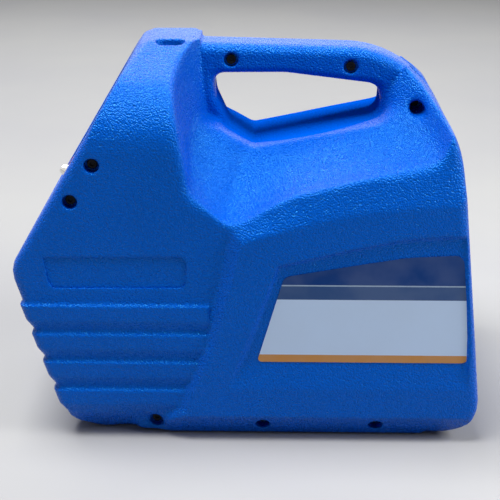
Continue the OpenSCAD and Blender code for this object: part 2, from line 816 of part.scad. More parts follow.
// Valve stem from the manifold up into its knob
block_top = plate_low - 8;
block_h = 26;
stem_in = 14;
module stem() {
    low = block_top - stem_in;
    color(steel) translate([0, 0, low]) cylinder(d = stem_d, h = plate_top + 11 - low);
}

module inlet_stem() on_front(knob_x, -pair_y) stem();
module outlet_stem() on_front(knob_x, pair_y) stem();
module selector_stem() on_front(selector_x, 0) stem();

spigot_d = 12;
spigot_l = 8;
flare_h = 4;
module flare_port(l) {
    collar = plate_top + 3;
    end = plate_top + l;
    color(zinc) difference() {
        union() {
            translate([0, 0, block_top]) cylinder(d = port_hex / cos(30), h = collar - block_top, $fn = 6);
            rotate_extrude() polygon([[0, collar - eps], [port_d / 2, collar - eps],
                [port_d / 2, end - flare_h], [port_d / 2 - 0.8, end - flare_h + 1], [3.4, end], [0, end]]);
            translate([0, 0, block_top - spigot_l]) cylinder(d = spigot_d, h = spigot_l + eps);
        }
        through(4.8);
    }
}

module flare_ports() {
    on_front(port_x, -pair_y) flare_port(inlet_l);
    on_front(port_x, pair_y) flare_port(outlet_l);
}

tap_x = knob_x + 20;
tap_y = 26;
module manifold() {
    notch = [rocker_size[0] / 2 + 3, rocker_size[1] / 2 + 3];
    color("#b9bec4") difference() {
        on_front() {
            block([knob_x - 14, port_x + 13], [-pair_y - 18, pair_y + 18], [block_top - block_h, block_top]);
            block([port_x, selector_x + 13], [-16, 16], [block_top - block_h, block_top]);
            for (s = [-1, 1]) translate([clamp_x, s * clamp_y, block_top - eps])
                cylinder(d = 10, h = plate_low - block_top + eps);
        }
        pair(knob_x, pair_y) stem_bore();
        on_front(selector_x) stem_bore();
        pair(port_x, pair_y) translate([0, 0, block_top - spigot_l]) cylinder(d = spigot_d, h = spigot_l + 1);
        pair(clamp_x, clamp_y) translate([0, 0, block_top - 9]) cylinder(d = screw_d + 0.1, h = 20);
        on_front(switch_x)
            block([-notch[0], notch[0]], [-notch[1], notch[1]], [block_top - 18, block_top + 1]);
        pair(tap_x, tap_y) translate([0, 0, block_top - block_h - 1]) cylinder(d = tube_d + 0.1, h = 9);
    }
}

module stem_bore() {
    translate([0, 0, block_top - stem_in - 1]) cylinder(r = stem_d / 2 + run_gap, h = stem_in + 2);
}

module pressure_switch() {
    color(black) on_front(knob_x - 14, 40, block_top - block_h / 2) rotate([0, -90, 0]) {
        cylinder(d = 14, h = 6, $fn = 6);
        translate([0, 0, 6 - eps]) cylinder(d = 20, h = 14);
    }
}

// ---- switch and reset button ----

pivot_z = plate_top - 1;
pivot_r = 1.5;
rocker_tilt = -8;
module pivot_pin(r) {
    l = rocker_size[0] - 2;
    translate([-l / 2, 0, pivot_z]) rotate([90, 0, 90]) linear_extrude(l) circle(r = r);
}

module switch_frame() {
    x = rocker_size[0] / 2;
    y = rocker_size[1] / 2;
    color(black) on_front(switch_x) difference() {
        union() {
            block([-x - 2.5, x + 2.5], [-y - 2.5, y + 2.5], [plate_top, plate_top + 2]);
            block([fit_gap - x, x - fit_gap], [fit_gap - y, y - fit_gap], [plate_low - 16, plate_top + eps]);
        }
        block([2 - x, x - 2], [2 - y, y - 2], [plate_top - 12, plate_top + 3]);
        pivot_pin(pivot_r + run_gap);
    }
}

module power_rocker() {
    w = rocker_size[0] - 5;
    y = rocker_size[1] / 2 - 2.6;
    color("#c8281e") on_front(switch_x) {
        translate([-w / 2, 0, pivot_z]) rotate([rocker_tilt, 0, 0]) rotate([90, 0, 90]) linear_extrude(w)
            polygon([[-y, 2.6], [-y * 0.93, -1.5], [-3, -6], [3, -6], [y * 0.93, -1.5], [y, 2.6], [0, 1.2]]);
        pivot_pin(pivot_r);
    }
}

button_d = 8;
module reset_housing() {
    color(black) on_front(reset_x) difference() {
        union() {
            translate([0, 0, plate_top]) cylinder(d = 17, h = 3, $fn = 6);
            translate([0, 0, plate_low - 16]) cylinder(d = 13 - 2 * fit_gap, h = 16 + panel_t + eps);
        }
        translate([0, 0, plate_top - 6]) cylinder(r = button_d / 2 + run_gap, h = 20);
    }
}

module reset_button() {
    color("#c8281e") on_front(reset_x) translate([0, 0, plate_top - 3]) cylinder(d = button_d, h = 9.5);
}

// ---- grilles and mains inlet ----

// Louvred insert with its flange behind a wall of thickness t
louvre_t = 2;
module grille(size, count, t) {
    w = size[0] / 2 - grille_gap;
    h = size[1] / 2 - grille_gap;
    bar = 6;
    flange = 6;
    back = -t - grille_gap;
    step = 2 * (h - bar) / count;
    difference() {
        union() {
            block([-h, h], [-w, w], [back - eps, -0.6]);
            block([-h - flange, h + flange], [-w - flange, w + flange], [back - grille_back, back]);
        }
        block([bar - h, h - bar], [bar - w, w - bar], [-20, 5]);
    }
    for (i = [0:count - 1])
        translate([bar - h + (i + 0.5) * step, 0, -wall / 2 - 0.6]) rotate([0, 35, 0])
            cube([louvre_t, 2 * w - bar, 6.5], center = true);
    for (s = [-1, 1])
        block([bar - h - 1, h - bar + 1], [s * w / 3 - 1, s * w / 3 + 1], [-wall - 2, -1]);
}

module front_grille() {
    color(black) on_nose() grille(front_vent, 6, wall * front_draft * cos(nose_tilt));
}

module rear_grille() {
    color(black) on_rear(rear_vent_z) grille(rear_vent, 12, wall * cos(rear_tilt));
}

module mains_inlet() {
    w = socket_size[0];
    h = socket_size[1];
    color(black) translate([0, -socket_y, 0]) on_rear(socket_z) {
        difference() {
            union() {
                block([-h / 2 - 2, h / 2 + 2], [-w / 2 - 10, w / 2 + 10], [0.1, 2.6]);
                block([fit_gap - h / 2, h / 2 - fit_gap], [fit_gap - w / 2, w / 2 - fit_gap], [-22, 0.2]);
            }
            block([2 - h / 2, h / 2 - 2], [2 - w / 2, w / 2 - 2], [-16, 5]);
        }
        for (p = [[-3, 0], [3, -7], [3, 7]]) translate([p[0], p[1], -17]) linear_extrude(14)
            square([4, 2], center = true);
        for (s = [-1, 1]) translate([0, s * (w / 2 + 6), 2.5]) cylinder(d = 6, h = 1.2);
    }
}

// ---- chassis, motor and fan ----

deck_low = base_z + wall + 0.3;
deck_z = deck_low + 2;
motor_z = deck_z + fan_d / 2 + 3;
motor_x = at(0.038, 0)[0];
motor_end = motor_x + motor_l;
bell_l = 8;
fan_x = motor_end + bell_l + 5;
fan_w = 16;
bearing_d = 30;
bearing_w = 8;
crank_x = motor_x - bell_l;

// Along +X from x = a to x = b, on the motor's axis
module on_axis(a, b) {
    translate([a, 0, motor_z]) rotate([90, 0, 90]) linear_extrude(b - a) children();
}

module chassis_tray() {
    tray = [at(-0.30, 0)[0], at(0.404, 0)[0]];
    reach = skirt_seat - skirt_bite;
    color(zinc) difference() {
        union() {
            block(tray, [-reach, reach], [deck_low, deck_z]);
            both_sides() for (p = skirt_screws)
                block([p[0] - 7, p[0] + 7], [-skirt_seat + wall + 1.3, 3 - reach], [deck_low, p[1] + 7]);
        }
        both_sides() for (p = skirt_screws) across(p, reach - 5, skirt_seat) circle(d = screw_d + 0.1);
        for (x = [0.3, 0.5, 0.7], s = [-1, 1])
            translate([tray[0] + x * (tray[1] - tray[0]), s * 66, deck_low - 1]) cylinder(d = 10, h = 4);
    }
}

module motor_frame() {
    color("#30343a") on_axis(motor_x, motor_end) difference() {
        circle(d = motor_d, $fn = 96);
        circle(d = motor_d - 8, $fn = 96);
    }
}

stator_l = 70;
stator_x = motor_x + (motor_l - stator_l) / 2;
rotor_d = 58;
module stator() {
    color("#8d5a2b") on_axis(stator_x, stator_x + stator_l) difference() {
        circle(d = motor_d - 8.1, $fn = 96);
        circle(d = rotor_d + 1.2);
        for (i = [0:11]) rotate(i * 30) translate([rotor_d / 2 + 8, 0]) square([9, 5], center = true);
    }
}

module rotor() {
    color(steel) on_axis(stator_x, stator_x + stator_l) difference() {
        circle(d = rotor_d);
        circle(d = shaft_d);
    }
}

eccentric_r = 9;
crank_l = 72;
module motor_shaft() {
    color(steel) {
        on_axis(crank_x - crank_l - 6, fan_x + fan_w - 2) circle(d = shaft_d);
        for (s = [[0.24, 1], [0.70, -1]])
            on_axis(crank_x - crank_l * s[0] - 12, crank_x - crank_l * s[0])
                translate([0, s[1] * eccentric_r]) circle(d = shaft_d + 2 * eccentric_r + 4);
    }
}

// End bell with a seat for its bearing
module bell(a) {
    color("#30343a") {
        on_axis(a, a + bell_l) difference() {
            circle(d = motor_d, $fn = 96);
            circle(d = bearing_d + 0.02);
        }
    }
}

module front_bell() bell(crank_x);
module rear_bell() bell(motor_end);

module shaft_bearings() {
    color(steel) for (x = [crank_x, motor_end, crank_x - crank_l]) on_axis(x, x + bearing_w) difference() {
        circle(d = bearing_d);
        circle(r = shaft_d / 2 + run_gap);
    }
}

module motor_cradle() {
    w = 76;
    color(zinc) difference() {
        for (x = [motor_x + 12, motor_end - 28])
            block([x, x + 16], [-w / 2, w / 2], [deck_z, motor_z - motor_d / 2 + 16]);
        on_axis(motor_x - 1, motor_end + 1) circle(d = motor_d + 0.1, $fn = 96);
    }
}

module cooling_fan() {
    color("#2c2f33") {
        on_axis(fan_x, fan_x + fan_w) difference() {
            circle(d = 42);
            circle(d = shaft_d);
        }
        for (i = [0:6]) translate([fan_x + fan_w / 2, 0, motor_z]) rotate([i * 360 / 7, 0, 0])
            rotate([0, 0, 38]) block([-1.1, 1.1], [-11, 11], [18, fan_d / 2 - 2]);
    }
}

shroud_x = fan_x + fan_w + 2;
core_x = shroud_x + 2;
core_t = 20;
core_w = 150;
core_end = core_w / 2 + 3;
fin_t = 1.2;
tube_rows = 5;
core_low = deck_z;
core_h = 2 * (motor_z - core_low);
module fan_shroud() {
    color(zinc) difference() {
        block([shroud_x, core_x], [-core_w / 2, core_w / 2], [deck_z, core_low + core_h + 6]);
        on_axis(shroud_x - 1, core_x + 1) circle(d = fan_d + 2, $fn = 96);
    }
}

row_pitch = core_h / tube_rows;
module row_centres() {
    for (i = [0:tube_rows - 1]) translate([core_t / 2, core_low + (i + 0.5) * row_pitch]) children();
}

module condenser_fins() {
    count = 16;
    pitch = (core_w - fin_t) / (count - 1);
    color("#c9ced3") for (i = [0:count - 1]) translate([core_x, -core_w / 2 + i * pitch + fin_t, 0])
        rotate([90, 0, 0]) linear_extrude(fin_t) difference() {
            translate([0, core_low]) square([core_t, core_h]);
            row_centres() circle(d = tube_d + 0.05);
        }
}

module condenser_tube() {
    color("#b8703a") for (i = [0:tube_rows - 1])
        translate([core_x + core_t / 2, 0, core_low + (i + 0.5) * row_pitch]) {
            rotate([90, 0, 0]) cylinder(d = tube_d, h = 2 * core_end, center = true);
            if (i < tube_rows - 1)
                rotate([0, 0, i % 2 == 0 ? 90 : -90]) translate([core_end - eps, 0, row_pitch / 2])
                    rotate([90, 90, 0]) rotate_extrude(angle = 180)
                        translate([row_pitch / 2, 0]) circle(d = tube_d);
        }
}

// ---- compressor ----

crank_w = 80;
crank_wall = 8;
crank_foot = 14;
crank_low = motor_z - crank_w / 2 + 2;
crank_top = motor_z + crank_w / 2;
crank_end = crank_x - crank_l;
barrel_d = 34;
barrel_l = 50;
barrel_pitch = 32;
barrel_top = crank_top + barrel_l;
head_x = (crank_x + crank_end) / 2;
head_w = 68;
head_t = 52;
head_plate = 16;
head_fin = 8;
head_top = barrel_top + head_plate + head_fin;
cooling_fin = 3;
module crankcase() {
    w = crank_w / 2;
    color("#9aa0a6") {
        difference() {
            block([crank_end + bearing_w, crank_x], [-w, w], [crank_low, crank_top]);
            block([crank_end, crank_x - crank_wall], [crank_wall - w, w - crank_wall],
                [crank_low + crank_wall, crank_top - crank_wall]);
            on_axis(crank_x - crank_wall - 1, crank_x + 1) circle(d = shaft_d + 4);
        }
        for (s = [-1, 1])
            block([crank_end + crank_foot, crank_x - crank_wall],
                [s * (w - 10) - crank_wall, s * (w - 10) + crank_wall], [deck_z, crank_low + eps]);
    }
}

module crankcase_cover() {
    color("#9aa0a6") {
        difference() {
            block([crank_end, crank_end + bearing_w], [-crank_w / 2, crank_w / 2], [crank_low, crank_top]);
            on_axis(crank_end - 1, crank_end + bearing_w + 1) circle(d = bearing_d + 0.02);
        }
        on_axis(crank_end - 10, crank_end + eps) difference() {
            circle(d = bearing_d + 12);
            circle(d = bearing_d - 4);
        }
    }
}

module cylinder_block() {
    step = (barrel_l - cooling_fin) / 7;
    x = [head_x - head_w / 2, head_x + head_w / 2];
    y = [-head_t / 2, head_t / 2];
    color("#9aa0a6") {
        for (s = [-0.5, 0.5]) translate([head_x + s * barrel_pitch, 0, crank_top])
            cylinder(d = barrel_d, h = barrel_l);
        for (i = [0:7]) block(x, y, [crank_top + i * step, crank_top + i * step + cooling_fin]);
    }
}

module cylinder_head() {
    step = (head_t - cooling_fin) / 6;
    x = [head_x - head_w / 2, head_x + head_w / 2];
    low = -head_t / 2;
    color("#7d838a") difference() {
        union() {
            block(x, [low, -low], [barrel_top, barrel_top + head_plate]);
            for (y = [low:step:-low - cooling_fin + eps])
                block(x, [y, y + cooling_fin], [barrel_top + head_plate - eps, head_top]);
        }
        for (s = [-1, 1]) translate([head_x + s * (head_w / 2 - port_in), 0, port_z]) rotate([0, s * 90, 0])
            cylinder(d = tube_d + 0.1, h = port_in + 2);
    }
}

// ---- refrigerant tubes ----

function unit(v) = v / norm(v);

// Round tube swept along the points p
module tube_along(p, d) {
    sides = 10;
    path = smooth(p, 3);
    last = len(path) - 1;
    dirs = [for (i = [0:last]) unit(path[min(last, i + 1)] - path[max(0, i - 1)])];
    rings = [for (i = [0:last])
        let (t = dirs[i], u = unit(cross(abs(t[1]) > 0.9 ? [0, 0, 1] : [0, 1, 0], t)), v = cross(t, u))
        [for (j = [0:sides - 1]) path[i] + d / 2 * (cos(j * 36) * u + sin(j * 36) * v)]];
    loft(rings);
}

port_z = barrel_top + head_plate / 2;
port_in = 8;
function front_point(x, y, z) =
    let (c = cos(front_tilt), k = sin(front_tilt))
    [front_mid[0] + x * c - z * k, y, front_mid[1] + x * k + z * c];
tap_z = block_top - block_h;
head_out = [head_w / 2, 0, 0];
head_port = [head_x, 0, port_z];

module suction_tube() {
    b = front_point(tap_x, tap_y, tap_z - 14);
    h = head_port - head_out;
    color("#b8703a") tube_along([front_point(tap_x, tap_y, tap_z + 7), b, b + [13, -5, -6], h + [-22, 8, -3],
        h + [-10, 0, 0], h, h + [port_in - 2, 0, 0]], tube_d);
}

module discharge_tube() {
    h = head_port + head_out;
    end = [core_x + core_t / 2, core_end + fit_gap, core_low + core_h - row_pitch / 2];
    color("#b8703a") tube_along([h - [port_in - 2, 0, 0], h, h + [10, 0, 0], h + [40, 18, -2],
        [fan_x - 20, 62, port_z - 10], end + [-16, 10, 28], end + [-2, 17, 13], end + [0, 12, 0.6],
        end + [0, 6, 0], end], tube_d);
}

module return_tube() {
    end = [core_x + core_t / 2, -core_end - fit_gap, core_low + row_pitch / 2];
    b = front_point(tap_x, -tap_y, tap_z - 14);
    side = -skirt_seat + wall;
    color("#b8703a") tube_along([end, end + [0, -6, 0], end + [-1, -11, 0.3], end + [-12, -16, 4],
        [motor_end, side, deck_z + 24], [motor_x, side, deck_z + 24], [crank_x - 45, side + 8, deck_z + 32],
        [crank_end - 21, -66, deck_z + 62], [crank_end - 25, -48, deck_z + 110], b + [14, -6, -12], b,
        front_point(tap_x, -tap_y, tap_z + 7)], tube_d);
}

cap_d = 42;
cap_l = 84;
cap_y = -60;
cap_z = motor_z + motor_d / 2 + 12;
module capacitor() {
    color("#3a3d42") translate([motor_x + 8, cap_y, cap_z]) rotate([0, 90, 0]) {
        cylinder(d = cap_d, h = cap_l);
        translate([0, 0, cap_l - eps]) cylinder(d = 20, h = 4);
    }
}

module capacitor_clamp() {
    turn = atan2(motor_z - cap_z, -cap_y);
    color(zinc) translate([motor_x + 30, cap_y, cap_z]) rotate([90, 0, 90]) linear_extrude(14) difference() {
        union() {
            circle(d = cap_d + 4);
            rotate(turn) translate([cap_d / 2, -9]) square([20, 18]);
        }
        circle(d = cap_d + 0.1);
        translate([-cap_y, motor_z - cap_z]) circle(d = motor_d + 0.1, $fn = 96);
    }
}

near_shell();
far_shell();
case_screws();
front_strap_bar();
rear_strap_bar();
label_plate();
rubber_feet();
chassis_tray();
front_panel();
panel_screws();
inlet_gauge();
outlet_gauge();
gauge_dials();
inlet_needle();
outlet_needle();
gauge_lenses();
inlet_knob();
outlet_knob();
selector_knob();
inlet_stem();
outlet_stem();
selector_stem();
flare_ports();
manifold();
pressure_switch();
switch_frame();
power_rocker();
reset_housing();
reset_button();
front_grille();
rear_grille();
mains_inlet();
motor_frame();
stator();
rotor();
motor_shaft();
front_bell();
rear_bell();
shaft_bearings();
motor_cradle();
cooling_fan();
fan_shroud();
condenser_tube();
condenser_fins();
crankcase();
crankcase_cover();
cylinder_block();
cylinder_head();
suction_tube();
discharge_tube();
return_tube();
capacitor();
capacitor_clamp();
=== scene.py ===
import json
from math import atan2, cos, pi, radians, sin

import bmesh
import bpy
from mathutils import Matrix, Vector


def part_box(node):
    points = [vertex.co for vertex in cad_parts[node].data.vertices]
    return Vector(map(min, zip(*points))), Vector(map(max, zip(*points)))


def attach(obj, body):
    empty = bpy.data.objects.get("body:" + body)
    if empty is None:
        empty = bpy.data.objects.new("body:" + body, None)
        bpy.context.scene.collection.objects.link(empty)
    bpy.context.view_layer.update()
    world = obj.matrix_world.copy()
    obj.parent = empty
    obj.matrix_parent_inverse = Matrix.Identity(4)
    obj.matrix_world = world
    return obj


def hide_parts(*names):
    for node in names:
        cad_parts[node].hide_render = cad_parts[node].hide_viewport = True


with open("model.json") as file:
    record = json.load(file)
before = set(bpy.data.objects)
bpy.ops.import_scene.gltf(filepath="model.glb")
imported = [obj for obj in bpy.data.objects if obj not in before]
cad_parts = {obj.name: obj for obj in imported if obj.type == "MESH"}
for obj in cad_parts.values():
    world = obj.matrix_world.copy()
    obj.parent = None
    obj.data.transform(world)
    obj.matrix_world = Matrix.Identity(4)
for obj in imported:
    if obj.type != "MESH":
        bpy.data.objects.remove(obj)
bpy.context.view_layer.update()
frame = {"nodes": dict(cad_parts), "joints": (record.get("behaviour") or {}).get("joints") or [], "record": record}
nodes = frame["nodes"]
joints = {joint["name"]: joint for joint in frame["joints"]}
mounts = {mount["name"]: mount for mount in frame["record"]["mounts"]}
print("frame loaded:", len(nodes), "nodes")


# materials

def link(tree, source, target):
    tree.links.new(source, target)


def startMaterial(name, roughness, metallic=0.0):
    material = bpy.data.materials.new(name)
    material.use_nodes = True
    tree = material.node_tree
    shader = tree.nodes["Principled BSDF"]
    shader.inputs["Roughness"].default_value = roughness
    shader.inputs["Metallic"].default_value = metallic
    coords = tree.nodes.new("ShaderNodeTexCoord")
    return material, tree, shader, coords.outputs["Object"]


def noise(tree, coords, scale, detail=3.0, stretch=None):
    # noise in metres, optionally drawn out along one axis
    if stretch:
        mapping = tree.nodes.new("ShaderNodeMapping")
        mapping.inputs["Scale"].default_value = stretch
        link(tree, coords, mapping.inputs["Vector"])
        coords = mapping.outputs["Vector"]
    texture = tree.nodes.new("ShaderNodeTexNoise")
    texture.inputs["Scale"].default_value = scale
    texture.inputs["Detail"].default_value = detail
    link(tree, coords, texture.inputs["Vector"])
    return texture.outputs["Fac"]


def ramp(tree, value, low, high, fromMin=0.35, fromMax=0.65):
    # spreads a value between two numbers
    spread = tree.nodes.new("ShaderNodeMapRange")
    spread.inputs["From Min"].default_value = fromMin
    spread.inputs["From Max"].default_value = fromMax
    spread.inputs["To Min"].default_value = low
    spread.inputs["To Max"].default_value = high
    link(tree, value, spread.inputs["Value"])
    return spread.outputs["Result"]


def compute(tree, operation, first, second):
    # math node on two sockets or numbers
    node = tree.nodes.new("ShaderNodeMath")
    node.operation = operation
    for socket, value in zip(node.inputs, (first, second)):
        if isinstance(value, float):
            socket.default_value = value
        else:
            link(tree, value, socket)
    return node.outputs[0]


def mixColors(tree, value, first, second):
    mix = tree.nodes.new("ShaderNodeMix")
    mix.data_type = "RGBA"
    link(tree, value, mix.inputs["Factor"])
    for socket, color in ((mix.inputs["A"], first), (mix.inputs["B"], second)):
        if isinstance(color, tuple):
            socket.default_value = (*color, 1.0)
        else:
            link(tree, color, socket)
    return mix.outputs["Result"]


def mottle(tree, shader, coords, scale, color, dark, detail=3.0):
    # base colour that drifts between two tones
    tone = ramp(tree, noise(tree, coords, scale, detail), 0.0, 1.0)
    link(tree, mixColors(tree, tone, color, dark), shader.inputs["Base Color"])


def roughen(tree, shader, value, low, high):
    link(tree, ramp(tree, value, low, high), shader.inputs["Roughness"])


def bump(tree, shader, height, strength, depth):
    node = tree.nodes.new("ShaderNodeBump")
    node.inputs["Strength"].default_value = strength
    node.inputs["Distance"].default_value = depth
    link(tree, height, node.inputs["Height"])
    link(tree, node.outputs["Normal"], shader.inputs["Normal"])


def pebbles(tree, coords, grain):
    # height of rounded cells of about one grain, a little out of line
    warp = tree.nodes.new("ShaderNodeMix")
    warp.data_type = "VECTOR"
    warp.inputs["Factor"].default_value = grain * 0.5
    shift = tree.nodes.new("ShaderNodeTexNoise")
    shift.inputs["Scale"].default_value = 0.5 / grain
    link(tree, coords, shift.inputs["Vector"])
    link(tree, coords, warp.inputs["A"])
    link(tree, shift.outputs["Color"], warp.inputs["B"])
    cells = tree.nodes.new("ShaderNodeTexVoronoi")
    cells.inputs["Scale"].default_value = 1.0 / grain
    link(tree, warp.outputs["Result"], cells.inputs["Vector"])
    distance = cells.outputs["Distance"]
    return compute(tree, "SUBTRACT", 1.0, compute(tree, "MULTIPLY", distance, distance))


def mouldedPlastic(name, color, dark, roughness, grain, depth, strength, specular=0.4,
                   sheen=(1.0, 1.0, 1.0), calm=None):
    # pebbled moulding; inside calm, the centre and half sizes of an ellipsoid, the gloss fades
    material, tree, shader, coords = startMaterial(name, roughness)
    shader.inputs["Specular IOR Level"].default_value = specular
    shader.inputs["Specular Tint"].default_value = (*sheen, 1.0)
    mottle(tree, shader, coords, 9.0, color, dark, 2.0)
    roughen(tree, shader, noise(tree, coords, 160.0), roughness - 0.05, roughness + 0.06)
    if calm:
        near = tree.nodes.new("ShaderNodeMapping")
        near.vector_type = "TEXTURE"
        near.inputs["Location"].default_value, near.inputs["Scale"].default_value = calm
        link(tree, coords, near.inputs["Vector"])
        reach = tree.nodes.new("ShaderNodeVectorMath")
        reach.operation = "LENGTH"
        link(tree, near.outputs["Vector"], reach.inputs[0])
        gloss = ramp(tree, reach.outputs["Value"], 0.0, specular, 0.85, 1.2)
        link(tree, gloss, shader.inputs["Specular IOR Level"])
    bump(tree, shader, pebbles(tree, coords, grain), strength, depth)
    return material


def smoothPlastic(name, color, dark, roughness):
    material, tree, shader, coords = startMaterial(name, roughness)
    mottle(tree, shader, coords, 40.0, color, dark)
    roughen(tree, shader, noise(tree, coords, 300.0), roughness - 0.05, roughness + 0.07)
    bump(tree, shader, noise(tree, coords, 1400.0, 1.0), 0.12, 0.0002)
    return material


def metal(name, color, tint, roughness, stretch, grain, strength):
    # brushed where stretch is given, otherwise turned or plated
    material, tree, shader, coords = startMaterial(name, roughness, 1.0)
    mottle(tree, shader, coords, 60.0, color, tint)
    scratches = noise(tree, coords, grain, 4.0, stretch)
    roughen(tree, shader, scratches, roughness - 0.08, roughness + 0.12)
    bump(tree, shader, scratches, strength, 0.0001)
    return material


def castMetal(name, color, tint, roughness):
    material, tree, shader, coords = startMaterial(name, roughness, 0.85)
    mottle(tree, shader, coords, 90.0, color, tint)
    roughen(tree, shader, noise(tree, coords, 500.0), roughness - 0.1, roughness + 0.1)
    bump(tree, shader, noise(tree, coords, 900.0, 4.0), 0.4, 0.0004)
    return material


def clearGlass(name):
    material, tree, shader, coords = startMaterial(name, 0.03)
    shader.inputs["Base Color"].default_value = (0.95, 0.98, 1.0, 1.0)
    shader.inputs["Alpha"].default_value = 0.08
    shader.inputs["IOR"].default_value = 1.49
    roughen(tree, shader, noise(tree, coords, 50.0), 0.02, 0.07)
    return material


def bandedLabel(name, base, bands, worn):
    # flat colour bands, each above its height, a little worn
    material, tree, shader, coords = startMaterial(name, 0.34)
    shader.inputs["Specular IOR Level"].default_value = 0.08
    split = tree.nodes.new("ShaderNodeSeparateXYZ")
    link(tree, coords, split.inputs["Vector"])
    color = base
    for height, bandColor in bands:
        above = compute(tree, "GREATER_THAN", split.outputs["Z"], height)
        color = mixColors(tree, above, color, bandColor)
    wear = ramp(tree, noise(tree, coords, 30.0), 0.0, 0.08)
    link(tree, mixColors(tree, wear, color, worn), shader.inputs["Base Color"])
    roughen(tree, shader, noise(tree, coords, 240.0), 0.28, 0.44)
    bump(tree, shader, noise(tree, coords, 700.0, 1.0), 0.06, 0.0002)
    return material


handHollow = ((0.04, 0.02, 0.267), (0.115, 0.072, 0.05))  # centre and half sizes
labelBands = [(0.0853, (0.53, 0.68, 0.92)), (0.1373, (0.035, 0.085, 0.235)), (0.1496, (0.33, 0.44, 0.6)),
              (0.1508, (0.006, 0.045, 0.21))]

# name: maker, colour, second tone, roughness, then what the maker takes
finishTable = {
    "caseBlue": (mouldedPlastic, (0.0, 0.084, 0.56), (0.0, 0.077, 0.52), 0.25, 0.0015, 0.0009, 0.85, 0.5,
                 (0.05, 0.7, 1.0), handHollow),
    "panelBlack": (mouldedPlastic, (0.022, 0.023, 0.026), (0.016, 0.017, 0.019), 0.5, 0.0009, 0.0002, 0.4),
    "grilleBlack": (mouldedPlastic, (0.02, 0.021, 0.023), (0.014, 0.015, 0.017), 0.46, 0.0011, 0.0002, 0.4),
    "rubber": (mouldedPlastic, (0.016, 0.016, 0.017), (0.012, 0.012, 0.012), 0.72, 0.0012, 0.0002, 0.4),
    "knobBlack": (smoothPlastic, (0.02, 0.02, 0.022), (0.012, 0.012, 0.014), 0.32),
    "knobBlue": (smoothPlastic, (0.02, 0.12, 0.55), (0.015, 0.1, 0.48), 0.3),
    "knobRed": (smoothPlastic, (0.62, 0.03, 0.02), (0.54, 0.02, 0.015), 0.3),
    "printWhite": (smoothPlastic, (0.82, 0.83, 0.84), (0.76, 0.77, 0.78), 0.5),
    "dialFace": (smoothPlastic, (0.74, 0.74, 0.72), (0.7, 0.7, 0.68), 0.45),
    "dialInk": (smoothPlastic, (0.015, 0.015, 0.017), (0.01, 0.01, 0.012), 0.5),
    "dialGreen": (smoothPlastic, (0.03, 0.34, 0.10), (0.025, 0.3, 0.08), 0.5),
    "dialBlue": (smoothPlastic, (0.03, 0.16, 0.55), (0.025, 0.14, 0.5), 0.5),
    "bezelBlack": (metal, (0.03, 0.03, 0.034), (0.022, 0.022, 0.025), 0.3, None, 500.0, 0.1),
    "screwBlack": (metal, (0.014, 0.014, 0.017), (0.009, 0.009, 0.011), 0.3, None, 900.0, 0.25),
    "platedSteel": (metal, (0.72, 0.73, 0.75), (0.62, 0.63, 0.66), 0.22, None, 500.0, 0.1),
    "brushedSteel": (metal, (0.6, 0.61, 0.63), (0.5, 0.51, 0.53), 0.32, (1.0, 12.0, 12.0), 260.0, 0.2),
    "nickel": (metal, (0.83, 0.82, 0.79), (0.74, 0.73, 0.7), 0.16, None, 600.0, 0.08),
    "zincSheet": (metal, (0.55, 0.56, 0.58), (0.44, 0.46, 0.49), 0.36, None, 45.0, 0.1),
    "alloy": (metal, (0.72, 0.73, 0.75), (0.66, 0.67, 0.69), 0.34, (1.0, 6.0, 1.0), 400.0, 0.18),
    "canAlloy": (metal, (0.7, 0.71, 0.73), (0.62, 0.63, 0.65), 0.3, (1.0, 1.0, 8.0), 300.0, 0.15),
    "copper": (metal, (0.8, 0.4, 0.24), (0.62, 0.28, 0.16), 0.3, None, 300.0, 0.12),
    "winding": (metal, (0.5, 0.2, 0.07), (0.38, 0.14, 0.05), 0.35, (1.0, 20.0, 20.0), 200.0, 0.5),
    "castAlloy": (castMetal, (0.46, 0.47, 0.48), (0.36, 0.37, 0.38), 0.55),
    "motorPaint": (castMetal, (0.05, 0.055, 0.06), (0.035, 0.04, 0.045), 0.45),
    "lens": (clearGlass,),
    "label": (bandedLabel, (0.53, 0.25, 0.075), labelBands, (0.45, 0.52, 0.62)),
}
finishes = {name: row[0](name, *row[1:]) for name, row in finishTable.items()}
print("materials ready:", len(finishes))


# helpers

def meshFrom(bm, name):
    mesh = bpy.data.meshes.new(name)
    bm.to_mesh(mesh)
    bm.free()
    return mesh


def loose(bm, name):
    obj = bpy.data.objects.new(name, meshFrom(bm, name))
    bpy.context.scene.collection.objects.link(obj)
    return obj


def applied(obj):
    # the object's mesh with its modifiers, after which the object is gone
    mesh = bpy.data.meshes.new_from_object(obj.evaluated_get(bpy.context.evaluated_depsgraph_get()))
    bpy.data.objects.remove(obj)
    bm = bmesh.new()
    bm.from_mesh(mesh)
    bpy.data.meshes.remove(mesh)
    return bm


def mergedCopy(name):
    bm = bmesh.new()
    bm.from_mesh(nodes[name].data)
    bmesh.ops.remove_doubles(bm, verts=bm.verts, dist=1e-5)
    return bm


def newPiece(name, bm, finish, body, replaces=(), smooth=radians(38)):
    obj = loose(bm, name)
    for entry in [finish] if isinstance(finish, str) else finish:
        obj.data.materials.append(finishes[entry])
    if smooth:
        obj.data.shade_smooth()
        obj.data.set_sharp_from_angle(angle=smooth)
    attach(obj, body)
    if replaces:
        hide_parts(*replaces)
    return obj


def join(target, bm, matrix=None, material=0):
    # adds bm to target, moved by matrix, with one material
    if matrix:
        bmesh.ops.transform(bm, matrix=matrix, verts=bm.verts)
    for face in bm.faces:
        face.material_index = material
    mesh = meshFrom(bm, "part")
    start = len(target.faces)
    target.from_mesh(mesh)
    bpy.data.meshes.remove(mesh)
    target.faces.ensure_lookup_table()
    for face in target.faces[start:]:
        face.material_index = material


